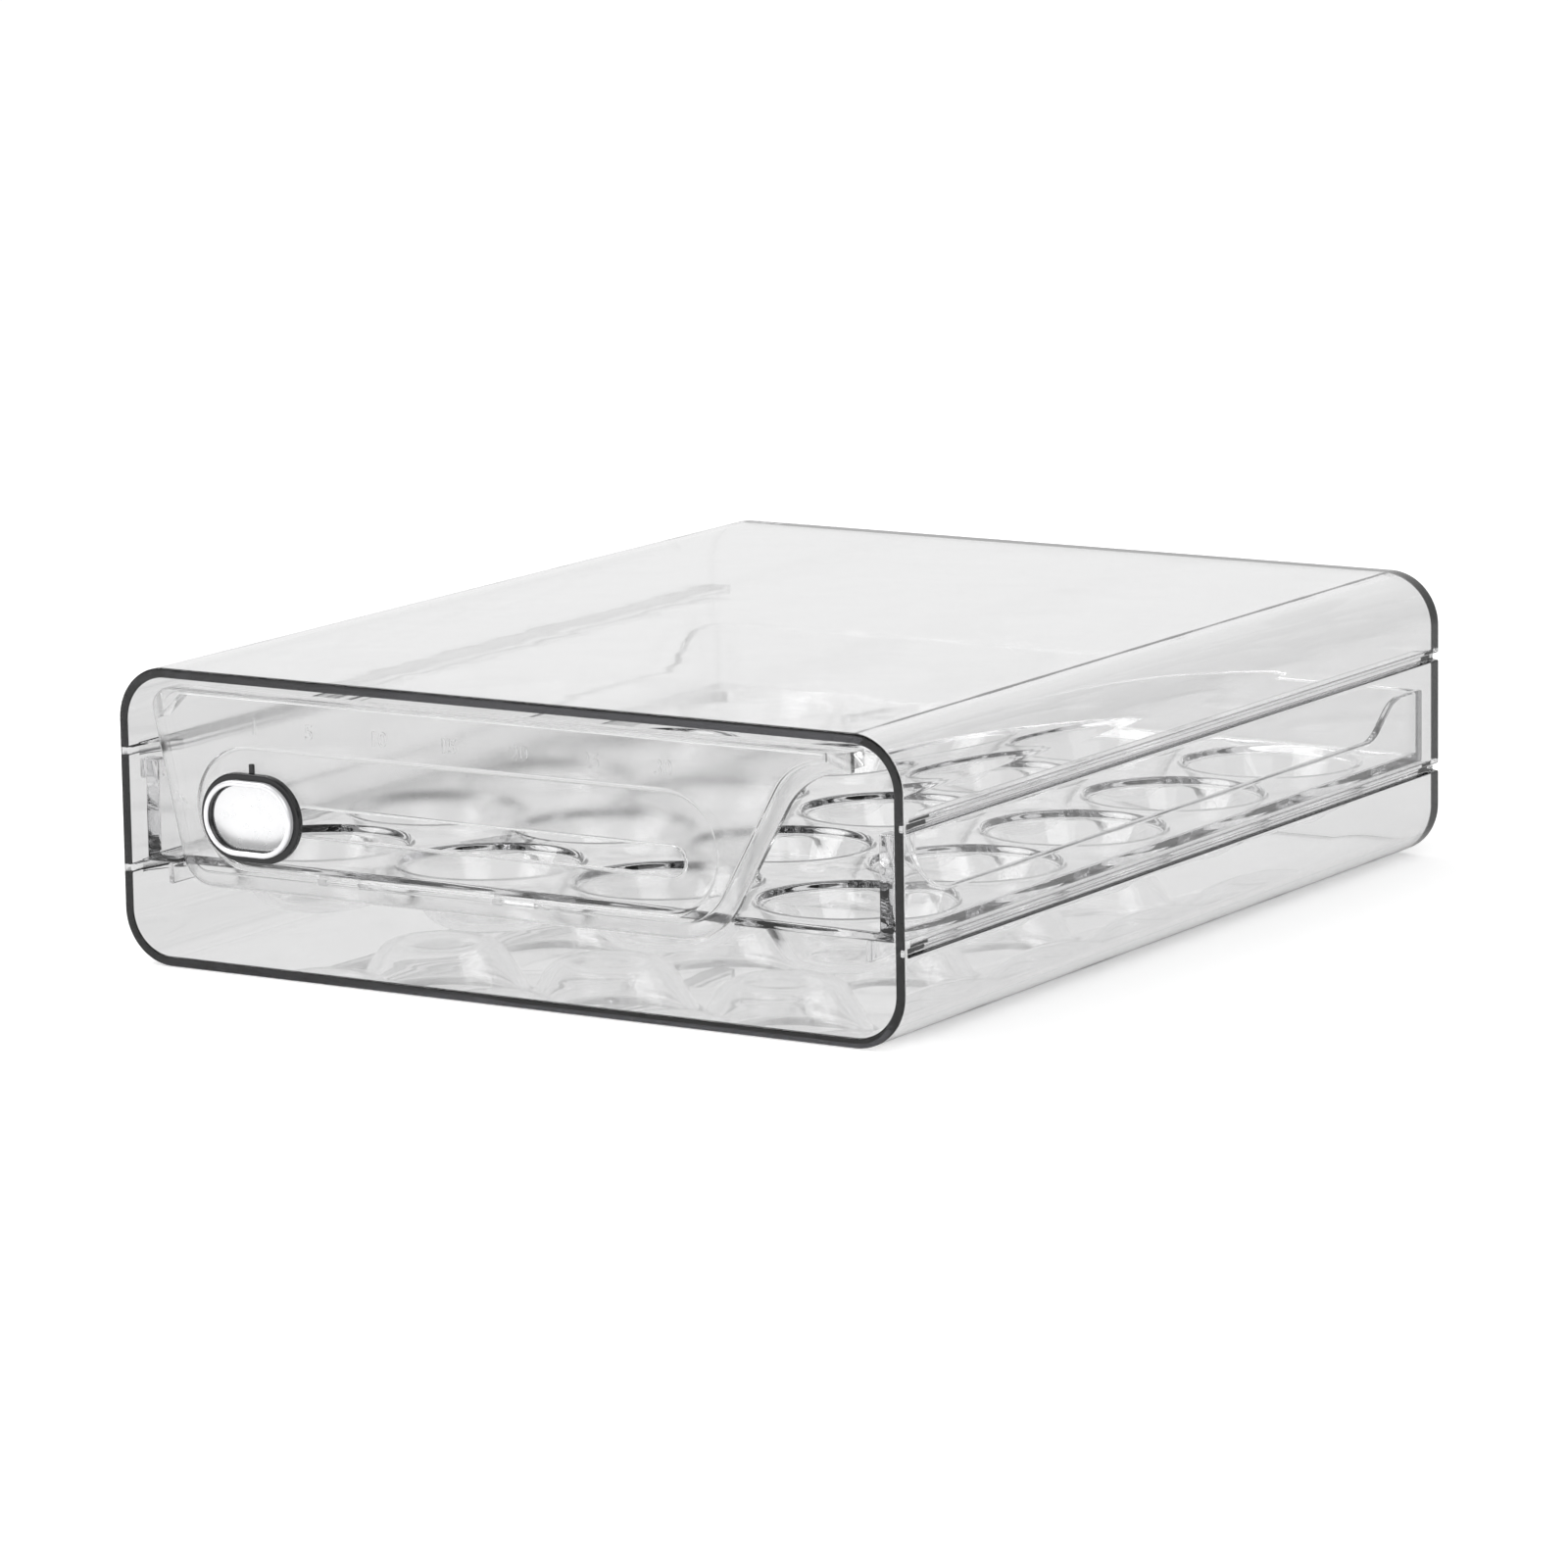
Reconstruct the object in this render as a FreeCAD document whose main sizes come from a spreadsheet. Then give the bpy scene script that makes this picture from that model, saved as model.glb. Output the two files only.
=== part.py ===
"""Clear egg drawer: a case with an open front, a pull-out tray of egg cups and a date marker.

Frame: millimetres, +X right as seen from the front, +Y to the back, +Z up, with the origin under the
middle of the case. Every piece is drawn from the plane of the case's front rim, which lies half the
case's depth in front of the origin.
"""
import FreeCAD, Part
import math
import os
import Sketcher

# Driving sizes, in millimetres and degrees
SIZES = {
    "case_width": 220.0,
    "case_depth": 265.0,
    "case_height": 73.0,
    "case_corner_radius": 13.4,
    "case_wall": 2.4,
    "rail_thickness": 2.6,
    "runner_height": 24.3,
    "rail_start": 4.5,
    "runner_reach": 7.2,
    "guide_height": 50.4,
    "guide_reach": 5.2,
    "groove_width": 4.0,
    "groove_floor": 1.2,
    "groove_depth": 1.6,
    "groove_start": 1.4,
    "slide_clearance": 0.3,
    "guide_clearance": 0.8,
    "side_clearance": 2.2,
    "back_clearance": 1.0,
    "tray_wall": 2.0,
    "deck_thickness": 2.2,
    "deck_side_margin": 4.8,
    "deck_front_margin": 1.8,
    "wing_setback": 3.5,
    "wing_clearance": 0.4,
    "side_rise": 7.4,
    "back_rise": 16.5,
    "front_sweep_radius": 20.0,
    "front_sweep_run": 7.0,
    "back_sweep_radius": 12.0,
    "back_sweep_run": 11.0,
    "back_land": 15.0,
    "post_width": 4.0,
    "guide_tab_height": 4.8,
    "guide_tab_clearance": 0.6,
    "tab_thickness": 1.4,
    "tab_drop": 5.0,
    "tab_length": 12.0,
    "tab_clearance": 1.2,
    "cup_land": 6.3,
    "cup_depth": 13.8,
    "cup_floor_radius": 13.0,
    "cup_round": 6.0,
    "cup_wall": 1.6,
    "panel_setback": 2.9,
    "panel_thickness": 3.4,
    "panel_roof_gap": 3.2,
    "panel_drop": 5.0,
    "panel_side_gap": 2.8,
    "panel_lean": 12.7,
    "panel_top_radius": 5.0,
    "panel_foot_radius": 9.0,
    "panel_tip_gap": 13.9,
    "panel_tip": 0.8,
    "bevel_width": 4.4,
    "bevel_depth": 2.1,
    "sweep_radius": 19.0,
    "sweep_slope": 61.0,
    "sweep_margin": 0.4,
    "lip_thickness": 1.4,
    "lip_length": 5.0,
    "ear_inset": 2.2,
    "ear_drop": 1.6,
    "ear_width": 7.0,
    "ear_height": 8.4,
    "foot_width": 12.0,
    "foot_length": 7.0,
    "foot_thickness": 1.8,
    "recess_depth": 1.3,
    "recess_height": 30.3,
    "recess_left_margin": 4.0,
    "recess_right_margin": 3.0,
    "recess_shift": 2.1,
    "marker_length": 28.8,
    "marker_height": 22.4,
    "marker_centre": 37.9,
    "marker_thickness": 1.75,
    "marker_end_gap": 1.6,
    "marker_clearance": 0.25,
    "pointer_width": 1.3,
    "pointer_height": 1.9,
    "pointer_thickness": 0.8,
    "stem_length": 11.0,
    "slot_height": 6.8,
    "slot_clearance": 0.3,
    "bezel_inset": 1.6,
    "bezel_width": 1.2,
    "bezel_thickness": 1.6,
    "face_thickness": 1.2,
    "retainer_length": 20.0,
    "retainer_height": 13.0,
    "retainer_thickness": 1.4,
}

# How many cups there are
COUNTS = {"cups_across": 4, "cups_deep": 5}

# Places worked out from the driving sizes
PLACES = {
    "front": "=-Sizes.case_depth / 2",
    "case_half": "=Sizes.case_width / 2",
    "inner_half": "=case_half - Sizes.case_wall",
    "inner_top": "=Sizes.case_height - Sizes.case_wall",
    "inner_radius": "=Sizes.case_corner_radius - Sizes.case_wall",
    "hollow_depth": "=Sizes.case_depth - Sizes.case_wall",
    "wall_middle": "=inner_half + Sizes.case_wall / 2",
    "rail_length": "=hollow_depth + Sizes.case_wall / 2 - Sizes.rail_start",
    "runner_inner": "=inner_half - Sizes.runner_reach",
    "runner_bottom": "=Sizes.runner_height - Sizes.rail_thickness",
    "guide_inner": "=inner_half - Sizes.guide_reach",
    "guide_top": "=Sizes.guide_height + Sizes.rail_thickness",
    "groove_bottom": "=case_half - Sizes.groove_depth",
    "groove_length": "=Sizes.case_depth - Sizes.groove_start",
    "low_groove": "=Sizes.runner_height - Sizes.rail_thickness / 2",
    "high_groove": "=Sizes.guide_height + Sizes.rail_thickness / 2",
    "low_mouth_base": "=low_groove - Sizes.groove_width / 2",
    "low_mouth_top": "=low_groove + Sizes.groove_width / 2",
    "low_floor_base": "=low_groove - Sizes.groove_floor / 2",
    "low_floor_top": "=low_groove + Sizes.groove_floor / 2",
    "high_mouth_base": "=high_groove - Sizes.groove_width / 2",
    "high_mouth_top": "=high_groove + Sizes.groove_width / 2",
    "high_floor_base": "=high_groove - Sizes.groove_floor / 2",
    "high_floor_top": "=high_groove + Sizes.groove_floor / 2",
    "deck_base": "=Sizes.runner_height + Sizes.slide_clearance",
    "deck_top": "=deck_base + Sizes.deck_thickness",
    "deck_front": "=Sizes.panel_setback + Sizes.panel_thickness",
    "tray_half": "=inner_half - Sizes.side_clearance",
    "tray_inner": "=tray_half - Sizes.tray_wall",
    "tray_back": "=hollow_depth - Sizes.back_clearance",
    "array_half": "=tray_half - Sizes.deck_side_margin",
    "array_front": "=deck_front + Sizes.deck_front_margin",
    "array_back": "=tray_back - Sizes.tray_wall",
    "array_length": "=array_back - array_front",
    "pitch_across": "=2 * array_half / Counts.cups_across",
    "pitch_deep": "=array_length / Counts.cups_deep",
    "half_across": "=pitch_across / 2",
    "half_deep": "=pitch_deep / 2",
    "post_inner": "=tray_half - Sizes.post_width",
    "post_back": "=deck_front + Sizes.tray_wall",
    "post_depth": "=post_back - Sizes.wing_setback",
    "front_top": "=Sizes.guide_height - Sizes.guide_clearance",
    "guide_tab_outer": "=inner_half - Sizes.guide_tab_clearance",
    "guide_tab_base": "=front_top - Sizes.guide_tab_height",
    "low_top": "=deck_top + Sizes.side_rise",
    "back_top": "=deck_top + Sizes.back_rise",
    "front_sweep_end": "=post_back + Sizes.front_sweep_run",
    "back_sweep_end": "=tray_back - Sizes.back_land",
    "back_sweep_start": "=back_sweep_end - Sizes.back_sweep_run",
    "tab_outer": "=runner_inner - Sizes.tab_clearance",
    "tab_inner": "=tab_outer - Sizes.tab_thickness",
    "tab_base": "=deck_base - Sizes.tab_drop",
    "cup_rim": "=(min(pitch_across; pitch_deep) - Sizes.cup_land) / 2",
    "cup_outer_rim": "=cup_rim + Sizes.cup_wall",
    "cup_outer_floor": "=Sizes.cup_floor_radius + Sizes.cup_wall",
    "cup_base": "=Sizes.cup_depth + Sizes.cup_wall",
    "cup_outer_round": "=Sizes.cup_round + Sizes.cup_wall",
    "bevel_back": "=Sizes.panel_setback + Sizes.bevel_depth",
    "panel_edge": "=Sizes.panel_thickness - Sizes.bevel_depth",
    "panel_top": "=inner_top - Sizes.panel_roof_gap",
    "panel_base": "=deck_base - Sizes.panel_drop",
    "face_base": "=panel_base + Sizes.bevel_width",
    "left_top": "=inner_half - Sizes.panel_side_gap",
    "left_base": "=left_top - tan(Sizes.panel_lean) * (panel_top - panel_base)",
    "face_left_top": "=left_top - Sizes.bevel_width / cos(Sizes.panel_lean)",
    "face_left_base": "=face_left_top - tan(Sizes.panel_lean) * (panel_top - face_base)",
    "face_foot_radius": "=Sizes.panel_foot_radius - Sizes.bevel_width",
    "right_tip": "=inner_half - Sizes.panel_tip_gap",
    "sweep_top": "=panel_top - Sizes.bevel_width - Sizes.sweep_margin",
    "face_sweep_top": "=panel_top - Sizes.sweep_margin",
    "sweep_high": "=right_tip - Sizes.panel_tip - Sizes.sweep_radius * tan(Sizes.sweep_slope / 2)",
    "sweep_low": "=sweep_high - (sweep_top - panel_base) / tan(Sizes.sweep_slope)",
    "wing_left": "=left_top - tan(Sizes.panel_lean) * (panel_top - deck_top) + Sizes.wing_clearance",
    "wing_right": "=sweep_low + (deck_top - panel_base) / tan(Sizes.sweep_slope) + Sizes.wing_clearance",
    "face_slide": "=Sizes.bevel_width / sin(Sizes.sweep_slope)",
    "face_sweep_low": "=sweep_low + Sizes.bevel_width / tan(Sizes.sweep_slope) - face_slide",
    "face_sweep_high": "=sweep_high + Sizes.bevel_width / tan(Sizes.sweep_slope) - face_slide",
    "face_low_radius": "=Sizes.sweep_radius - Sizes.bevel_width",
    "face_high_radius": "=Sizes.sweep_radius + Sizes.bevel_width",
    "lip_base": "=panel_top - Sizes.lip_thickness",
    "ear_base": "=panel_top - Sizes.ear_height",
    "lip_left": "=left_top - Sizes.panel_top_radius",
    "ear_left": "=left_top - Sizes.ear_inset",
    "ear_top": "=panel_top - Sizes.ear_drop",
    "ear_left_end": "=ear_left - Sizes.ear_width",
    "ear_right_end": "=right_tip - Sizes.ear_width",
    "foot_base": "=deck_base - Sizes.foot_thickness",
    "foot_left_start": "=pitch_across + Sizes.foot_width / 2",
    "foot_left_end": "=pitch_across - Sizes.foot_width / 2",
    "foot_half": "=Sizes.foot_width / 2",
    "recess_centre": "=Sizes.marker_centre + Sizes.recess_shift",
    "recess_radius": "=Sizes.recess_height / 2",
    "recess_base": "=recess_centre - recess_radius",
    "recess_top": "=recess_centre + recess_radius",
    "face_left_middle": "=face_left_top - tan(Sizes.panel_lean) * (panel_top - recess_centre)",
    "face_right_middle": "=face_sweep_low + (recess_centre - face_base) / tan(Sizes.sweep_slope)",
    "recess_left_room": "=recess_radius + Sizes.recess_left_margin",
    "recess_right_room": "=recess_radius + Sizes.recess_right_margin",
    "recess_left": "=face_left_middle - recess_left_room / cos(Sizes.panel_lean) + recess_radius",
    "recess_right": "=face_right_middle - recess_right_room / sin(Sizes.sweep_slope) + recess_radius",
    "recess_floor": "=Sizes.panel_setback + Sizes.recess_depth",
    "marker_half": "=Sizes.marker_length / 2",
    "marker_radius": "=Sizes.marker_height / 2",
    "marker_first": "=marker_half + Sizes.marker_end_gap - recess_left",
    "marker_last": "=recess_right - marker_half - Sizes.marker_end_gap",
    "marker_travel": "=marker_last - marker_first",
    "marker_back": "=recess_floor - Sizes.marker_clearance",
    "marker_front": "=marker_back - Sizes.marker_thickness",
    "pointer_half": "=Sizes.pointer_width / 2",
    "pointer_base": "=marker_radius / 2",
    "pointer_tip": "=marker_radius + Sizes.pointer_height",
    "stem_half": "=Sizes.stem_length / 2",
    "stem_radius": "=Sizes.slot_height / 2 - Sizes.slot_clearance",
    "retainer_front": "=deck_front + Sizes.marker_clearance",
    "stem_reach": "=retainer_front - marker_back",
    "slot_radius": "=Sizes.slot_height / 2",
    "slot_base": "=Sizes.marker_centre - slot_radius",
    "slot_top": "=Sizes.marker_centre + slot_radius",
    "slot_left": "=stem_half + Sizes.slot_clearance - marker_first",
    "slot_right": "=marker_last + stem_half + Sizes.slot_clearance",
    "bezel_half": "=marker_half - Sizes.bezel_inset",
    "bezel_radius": "=marker_radius - Sizes.bezel_inset",
    "face_half": "=bezel_half - Sizes.bezel_width",
    "face_radius": "=bezel_radius - Sizes.bezel_width",
    "retainer_half": "=Sizes.retainer_length / 2",
    "retainer_radius": "=Sizes.retainer_height / 2",
}

# Corners of the front plate: the rim behind its bevel, and the flat face in front
PANEL_RIM = (
    ("right_tip", "panel_top", None),
    ("-left_top", "panel_top", "panel_top_radius"),
    ("-left_base", "panel_base", "panel_foot_radius"),
    ("sweep_low", "panel_base", "sweep_radius"),
    ("sweep_high", "sweep_top", "sweep_radius"),
    ("right_tip", "sweep_top", None),
)
PANEL_FACE = (
    ("right_tip", "panel_top", None),
    ("-face_left_top", "panel_top", "panel_top_radius"),
    ("-face_left_base", "face_base", "face_foot_radius"),
    ("face_sweep_low", "face_base", "face_low_radius"),
    ("face_sweep_high", "face_sweep_top", "face_high_radius"),
    ("right_tip", "face_sweep_top", None),
)

doc = FreeCAD.newDocument("egg_drawer")


def fill_sheet(name, cells):
    """Makes a sheet with one named cell in each row."""
    sheet = doc.addObject("Spreadsheet::Sheet", name)
    for row, (alias, content) in enumerate(cells.items(), start=1):
        sheet.set(f"A{row}", alias)
        sheet.set(f"B{row}", str(content))
        sheet.setAlias(f"B{row}", alias)
    doc.recompute()
    return sheet


sizes = fill_sheet("Sizes", SIZES)
fill_sheet("Counts", COUNTS)
places = fill_sheet("Places", PLACES)


def cell(name):
    """The expression for a named cell of either sheet."""
    return f"Sizes.{name}" if name in SIZES else f"Places.{name}"


def value(name):
    """The number in a named cell, with a leading minus sign turned round, and 0 for the axis."""
    if name == "0":
        return 0.0
    if name.startswith("-"):
        return -value(name[1:])
    return float((sizes if name in SIZES else places).get(name))


def make_body(label):
    """A body drawn from the plane of the case's front rim."""
    body = doc.addObject("PartDesign::Body", label)
    body.Label = label
    body.setExpression("Placement.Base.y", cell("front"))
    return body


def origin_plane(body, role):
    """One of the body's own origin planes."""
    return next(plane for plane in body.Origin.OriginFeatures if plane.Role == role)


def make_sketch(body, name, role, offset=None):
    """A sketch on an origin plane, moved along the plane's normal by a named place."""
    sketch = body.newObject("Sketcher::SketchObject", f"{body.Name}_{name}")
    sketch.AttachmentSupport = [(origin_plane(body, role), "")]
    sketch.MapMode = "FlatFace"
    if offset:
        sketch.setExpression("AttachmentOffset.Base.z", offset)
    return sketch


def place_point(sketch, across, up):
    """A construction point held at two named places."""
    point = sketch.addGeometry(Part.Point(FreeCAD.Vector(value(across), value(up), 0)), True)
    for kind, name, axis in (("DistanceX", across, -2), ("DistanceY", up, -1)):
        if name == "0":
            sketch.addConstraint(Sketcher.Constraint("PointOnObject", point, 1, axis))
            continue
        ends = (point, 1, -1, 1) if value(name) < 0 else (-1, 1, point, 1)
        plain = name.lstrip("-")
        sign = "-" if value(plain) < 0 else ""
        rule = sketch.addConstraint(Sketcher.Constraint(kind, *ends, abs(value(name))))
        sketch.setExpression(f"Constraints[{rule}]", sign + cell(plain))
    return point


def add_arc(sketch, before, corner, after, radius):
    """A tangent arc that rounds a corner. Gives its index and the ends that meet the two sides."""
    to_before = (before - corner).normalize()
    to_after = (after - corner).normalize()
    half_angle = to_before.getAngle(to_after) / 2
    middle = (to_before + to_after).normalize()
    centre = corner + middle * (radius / math.sin(half_angle))
    reach = radius / math.tan(half_angle)
    first = corner + to_before * reach - centre
    last = corner + to_after * reach - centre
    turns_left = first.cross(last).z > 0
    start, end = (first, last) if turns_left else (last, first)
    low = math.atan2(start.y, start.x)
    high = math.atan2(end.y, end.x)
    high += 2 * math.pi if high < low else 0
    circle = Part.Circle(centre, FreeCAD.Vector(0, 0, 1), radius)
    arc = sketch.addGeometry(Part.ArcOfCircle(circle, low, high), False)
    ends = (1, 2) if turns_left else (2, 1)
    return arc, ends, centre + first, centre + last


def add_outline(sketch, corners):
    """A closed outline through corners (across, up, radius), each the name of a place or a size."""
    spots = [FreeCAD.Vector(value(across), value(up), 0) for across, up, _ in corners]
    points = [place_point(sketch, across, up) for across, up, _ in corners]
    count = len(corners)
    entries, exits, arcs = list(spots), list(spots), {}
    for i, (_, _, radius) in enumerate(corners):
        if radius:
            found = add_arc(sketch, spots[i - 1], spots[i], spots[(i + 1) % count], value(radius))
            arcs[i] = found[:2]
            entries[i], exits[i] = found[2:]
    lines = []
    for i in range(count):
        segment = Part.LineSegment(exits[i], entries[(i + 1) % count])
        lines.append(sketch.addGeometry(segment, False))
    for i, (_, _, radius) in enumerate(corners):
        before, after = lines[i - 1], lines[i]
        if radius:
            arc, ends = arcs[i]
            sketch.addConstraint(Sketcher.Constraint("Tangent", before, 2, arc, ends[0]))
            sketch.addConstraint(Sketcher.Constraint("Tangent", after, 1, arc, ends[1]))
            sketch.addConstraint(Sketcher.Constraint("PointOnObject", points[i], 1, before))
            sketch.addConstraint(Sketcher.Constraint("PointOnObject", points[i], 1, after))
            rule = sketch.addConstraint(Sketcher.Constraint("Radius", arc, value(radius)))
            sketch.setExpression(f"Constraints[{rule}]", cell(radius))
        else:
            sketch.addConstraint(Sketcher.Constraint("Coincident", before, 2, points[i], 1))
            sketch.addConstraint(Sketcher.Constraint("Coincident", after, 1, points[i], 1))


def add_box(sketch, left, right, base, top, radius=None):
    """A rectangle, with its corners rounded if a radius is named."""
    corners = ((left, base), (right, base), (right, top), (left, top))
    add_outline(sketch, [(across, up, radius) for across, up in corners])


def add_oval(sketch, left, right, base, top, radius):
    """A slot shape: two straight sides joined by half circles of the named radius."""
    low, high, size = value(base), value(top), value(radius)
    middle = (low + high) / 2
    left_centre = FreeCAD.Vector(value(left) + size, middle, 0)
    right_centre = FreeCAD.Vector(value(right) - size, middle, 0)
    normal = FreeCAD.Vector(0, 0, 1)
    quarter = math.pi / 2
    right_arc = Part.ArcOfCircle(Part.Circle(right_centre, normal, size), -quarter, quarter)
    left_arc = Part.ArcOfCircle(Part.Circle(left_centre, normal, size), quarter, 3 * quarter)
    down = FreeCAD.Vector(0, -size, 0)
    rounds = [sketch.addGeometry(arc, False) for arc in (right_arc, left_arc)]
    upper = sketch.addGeometry(Part.LineSegment(right_centre - down, left_centre - down), False)
    lower = sketch.addGeometry(Part.LineSegment(left_centre + down, right_centre + down), False)
    low_left = place_point(sketch, left, base)
    high_right = place_point(sketch, right, top)
    for line, first, last in ((upper, rounds[0], rounds[1]), (lower, rounds[1], rounds[0])):
        sketch.addConstraint(Sketcher.Constraint("Tangent", first, 2, line, 1))
        sketch.addConstraint(Sketcher.Constraint("Tangent", line, 2, last, 1))
    sketch.addConstraint(Sketcher.Constraint("Horizontal", lower))
    sketch.addConstraint(Sketcher.Constraint("PointOnObject", low_left, 1, lower))
    sketch.addConstraint(Sketcher.Constraint("PointOnObject", high_right, 1, upper))
    for arc, point, ends in ((rounds[0], high_right, 1), (rounds[1], low_left, -1)):
        start, end = ((arc, 3), (point, 1))[::ends]
        rule = sketch.addConstraint(Sketcher.Constraint("DistanceX", *start, *end, size))
        sketch.setExpression(f"Constraints[{rule}]", cell(radius))


def add_feature(body, kind, sketch, name, length=None, turned=False):
    """A feature on a sketch: a Pad or Pocket of a named length, or a Revolution or Groove."""
    feature = body.newObject(f"PartDesign::{kind}", f"{body.Name}_{name}")
    feature.Profile = sketch
    if length:
        feature.setExpression("Length", cell(length))
    else:
        feature.ReferenceAxis = (sketch, ["V_Axis"])
        feature.Angle = 360.0
    feature.Reversed = turned
    body.Tip = feature
    return feature


def add_mirror(body, name, features):
    """Repeats features on the other side of the middle plane."""
    mirror = body.newObject("PartDesign::Mirrored", f"{body.Name}_{name}")
    mirror.Originals = features
    mirror.MirrorPlane = (origin_plane(body, "YZ_Plane"), [""])
    body.Tip = mirror


def make_case():
    """The case: a round-cornered sleeve with a closed back, runners, guides and side grooves."""
    body = make_body("case_shell")
    section = make_sketch(body, "section", "XZ_Plane")
    add_box(section, "-case_half", "case_half", "0", "case_height", "case_corner_radius")
    add_feature(body, "Pad", section, "block", "case_depth", True)
    hollow = make_sketch(body, "hollow_section", "XZ_Plane")
    add_box(hollow, "-inner_half", "inner_half", "case_wall", "inner_top", "inner_radius")
    add_feature(body, "Pocket", hollow, "hollow", "hollow_depth")
    rails = make_sketch(body, "rail_section", "XZ_Plane", "-" + cell("rail_start"))
    add_box(rails, "runner_inner", "wall_middle", "runner_bottom", "runner_height")
    add_box(rails, "guide_inner", "wall_middle", "guide_height", "guide_top")
    rail_pad = add_feature(body, "Pad", rails, "rails", "rail_length", True)
    grooves = make_sketch(body, "groove_section", "XZ_Plane", "-" + cell("groove_start"))
    for level in ("low", "high"):
        corners = (
            ("case_half", f"{level}_mouth_base", None),
            ("case_half", f"{level}_mouth_top", None),
            ("groove_bottom", f"{level}_floor_top", None),
            ("groove_bottom", f"{level}_floor_base", None),
        )
        add_outline(grooves, corners)
    groove_pocket = add_feature(body, "Pocket", grooves, "grooves", "groove_length")
    add_mirror(body, "other_side", [rail_pad, groove_pocket])
    return body


def make_tray_frame():
    """The tray's frame: the deck's rim with wings beside the plate, walls, posts and tabs."""
    body = make_body("tray_frame")
    deck = make_sketch(body, "deck_outline", "XY_Plane", cell("deck_base"))
    corners = (
        ("-tray_half", "wing_setback", None),
        ("-wing_left", "wing_setback", None),
        ("-wing_left", "deck_front", None),
        ("wing_right", "deck_front", None),
        ("wing_right", "wing_setback", None),
        ("tray_half", "wing_setback", None),
        ("tray_half", "tray_back", None),
        ("-tray_half", "tray_back", None),
    )
    add_outline(deck, corners)
    add_box(deck, "-array_half", "array_half", "array_front", "array_back")
    add_feature(body, "Pad", deck, "deck", "deck_thickness")
    back = make_sketch(body, "back_outline", "XY_Plane", cell("deck_top"))
    add_box(back, "-tray_half", "tray_half", "array_back", "tray_back")
    add_feature(body, "Pad", back, "back_wall", "back_rise")
    side = make_sketch(body, "side_outline", "YZ_Plane", cell("tray_inner"))
    corners = (
        ("wing_setback", "deck_base", None),
        ("tray_back", "deck_base", None),
        ("tray_back", "back_top", None),
        ("back_sweep_end", "back_top", "back_sweep_radius"),
        ("back_sweep_start", "low_top", "back_sweep_radius"),
        ("front_sweep_end", "low_top", "front_sweep_radius"),
        ("post_back", "front_top", None),
        ("wing_setback", "front_top", None),
    )
    add_outline(side, corners)
    side_pad = add_feature(body, "Pad", side, "side_wall", "tray_wall")
    post = make_sketch(body, "post_outline", "XZ_Plane", "-" + cell("wing_setback"))
    corners = (
        ("post_inner", "deck_base", None),
        ("tray_half", "deck_base", None),
        ("tray_half", "guide_tab_base", None),
        ("guide_tab_outer", "guide_tab_base", None),
        ("guide_tab_outer", "front_top", None),
        ("post_inner", "front_top", None),
    )
    add_outline(post, corners)
    post_pad = add_feature(body, "Pad", post, "post", "post_depth", True)
    tab = make_sketch(body, "tab_outline", "XZ_Plane", "-" + cell("wing_setback"))
    add_box(tab, "tab_inner", "tab_outer", "tab_base", "deck_base")
    tab_pad = add_feature(body, "Pad", tab, "tab", "tab_length", True)
    add_mirror(body, "other_side", [side_pad, post_pad, tab_pad])
    return body


def make_egg_cup(row, column):
    """One egg cup with the square of deck round it, drawn from the deck's top."""
    body = make_body(f"egg_cup_r{row}_c{column}")
    across = f"{cell('pitch_across')} * {column - 0.5} - {cell('array_half')}"
    deep = f"{cell('front')} + {cell('array_front')} + {cell('pitch_deep')} * {row - 0.5}"
    body.setExpression("Placement.Base.x", across)
    body.setExpression("Placement.Base.y", deep)
    body.setExpression("Placement.Base.z", cell("deck_top"))
    square = make_sketch(body, "square", "XY_Plane")
    add_box(square, "-half_across", "half_across", "-half_deep", "half_deep")
    add_feature(body, "Pad", square, "deck", "deck_thickness", True)
    bowl = make_sketch(body, "bowl_outline", "XZ_Plane")
    corners = (
        ("0", "0", None),
        ("0", "-cup_base", None),
        ("cup_outer_floor", "-cup_base", "cup_outer_round"),
        ("cup_outer_rim", "0", None),
    )
    add_outline(bowl, corners)
    add_feature(body, "Revolution", bowl, "bowl")
    hollow = make_sketch(body, "hollow_outline", "XZ_Plane")
    corners = (
        ("0", "0", None),
        ("0", "-cup_depth", None),
        ("cup_floor_radius", "-cup_depth", "cup_round"),
        ("cup_rim", "0", None),
    )
    add_outline(hollow, corners)
    add_feature(body, "Groove", hollow, "hollow")
    return body


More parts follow.
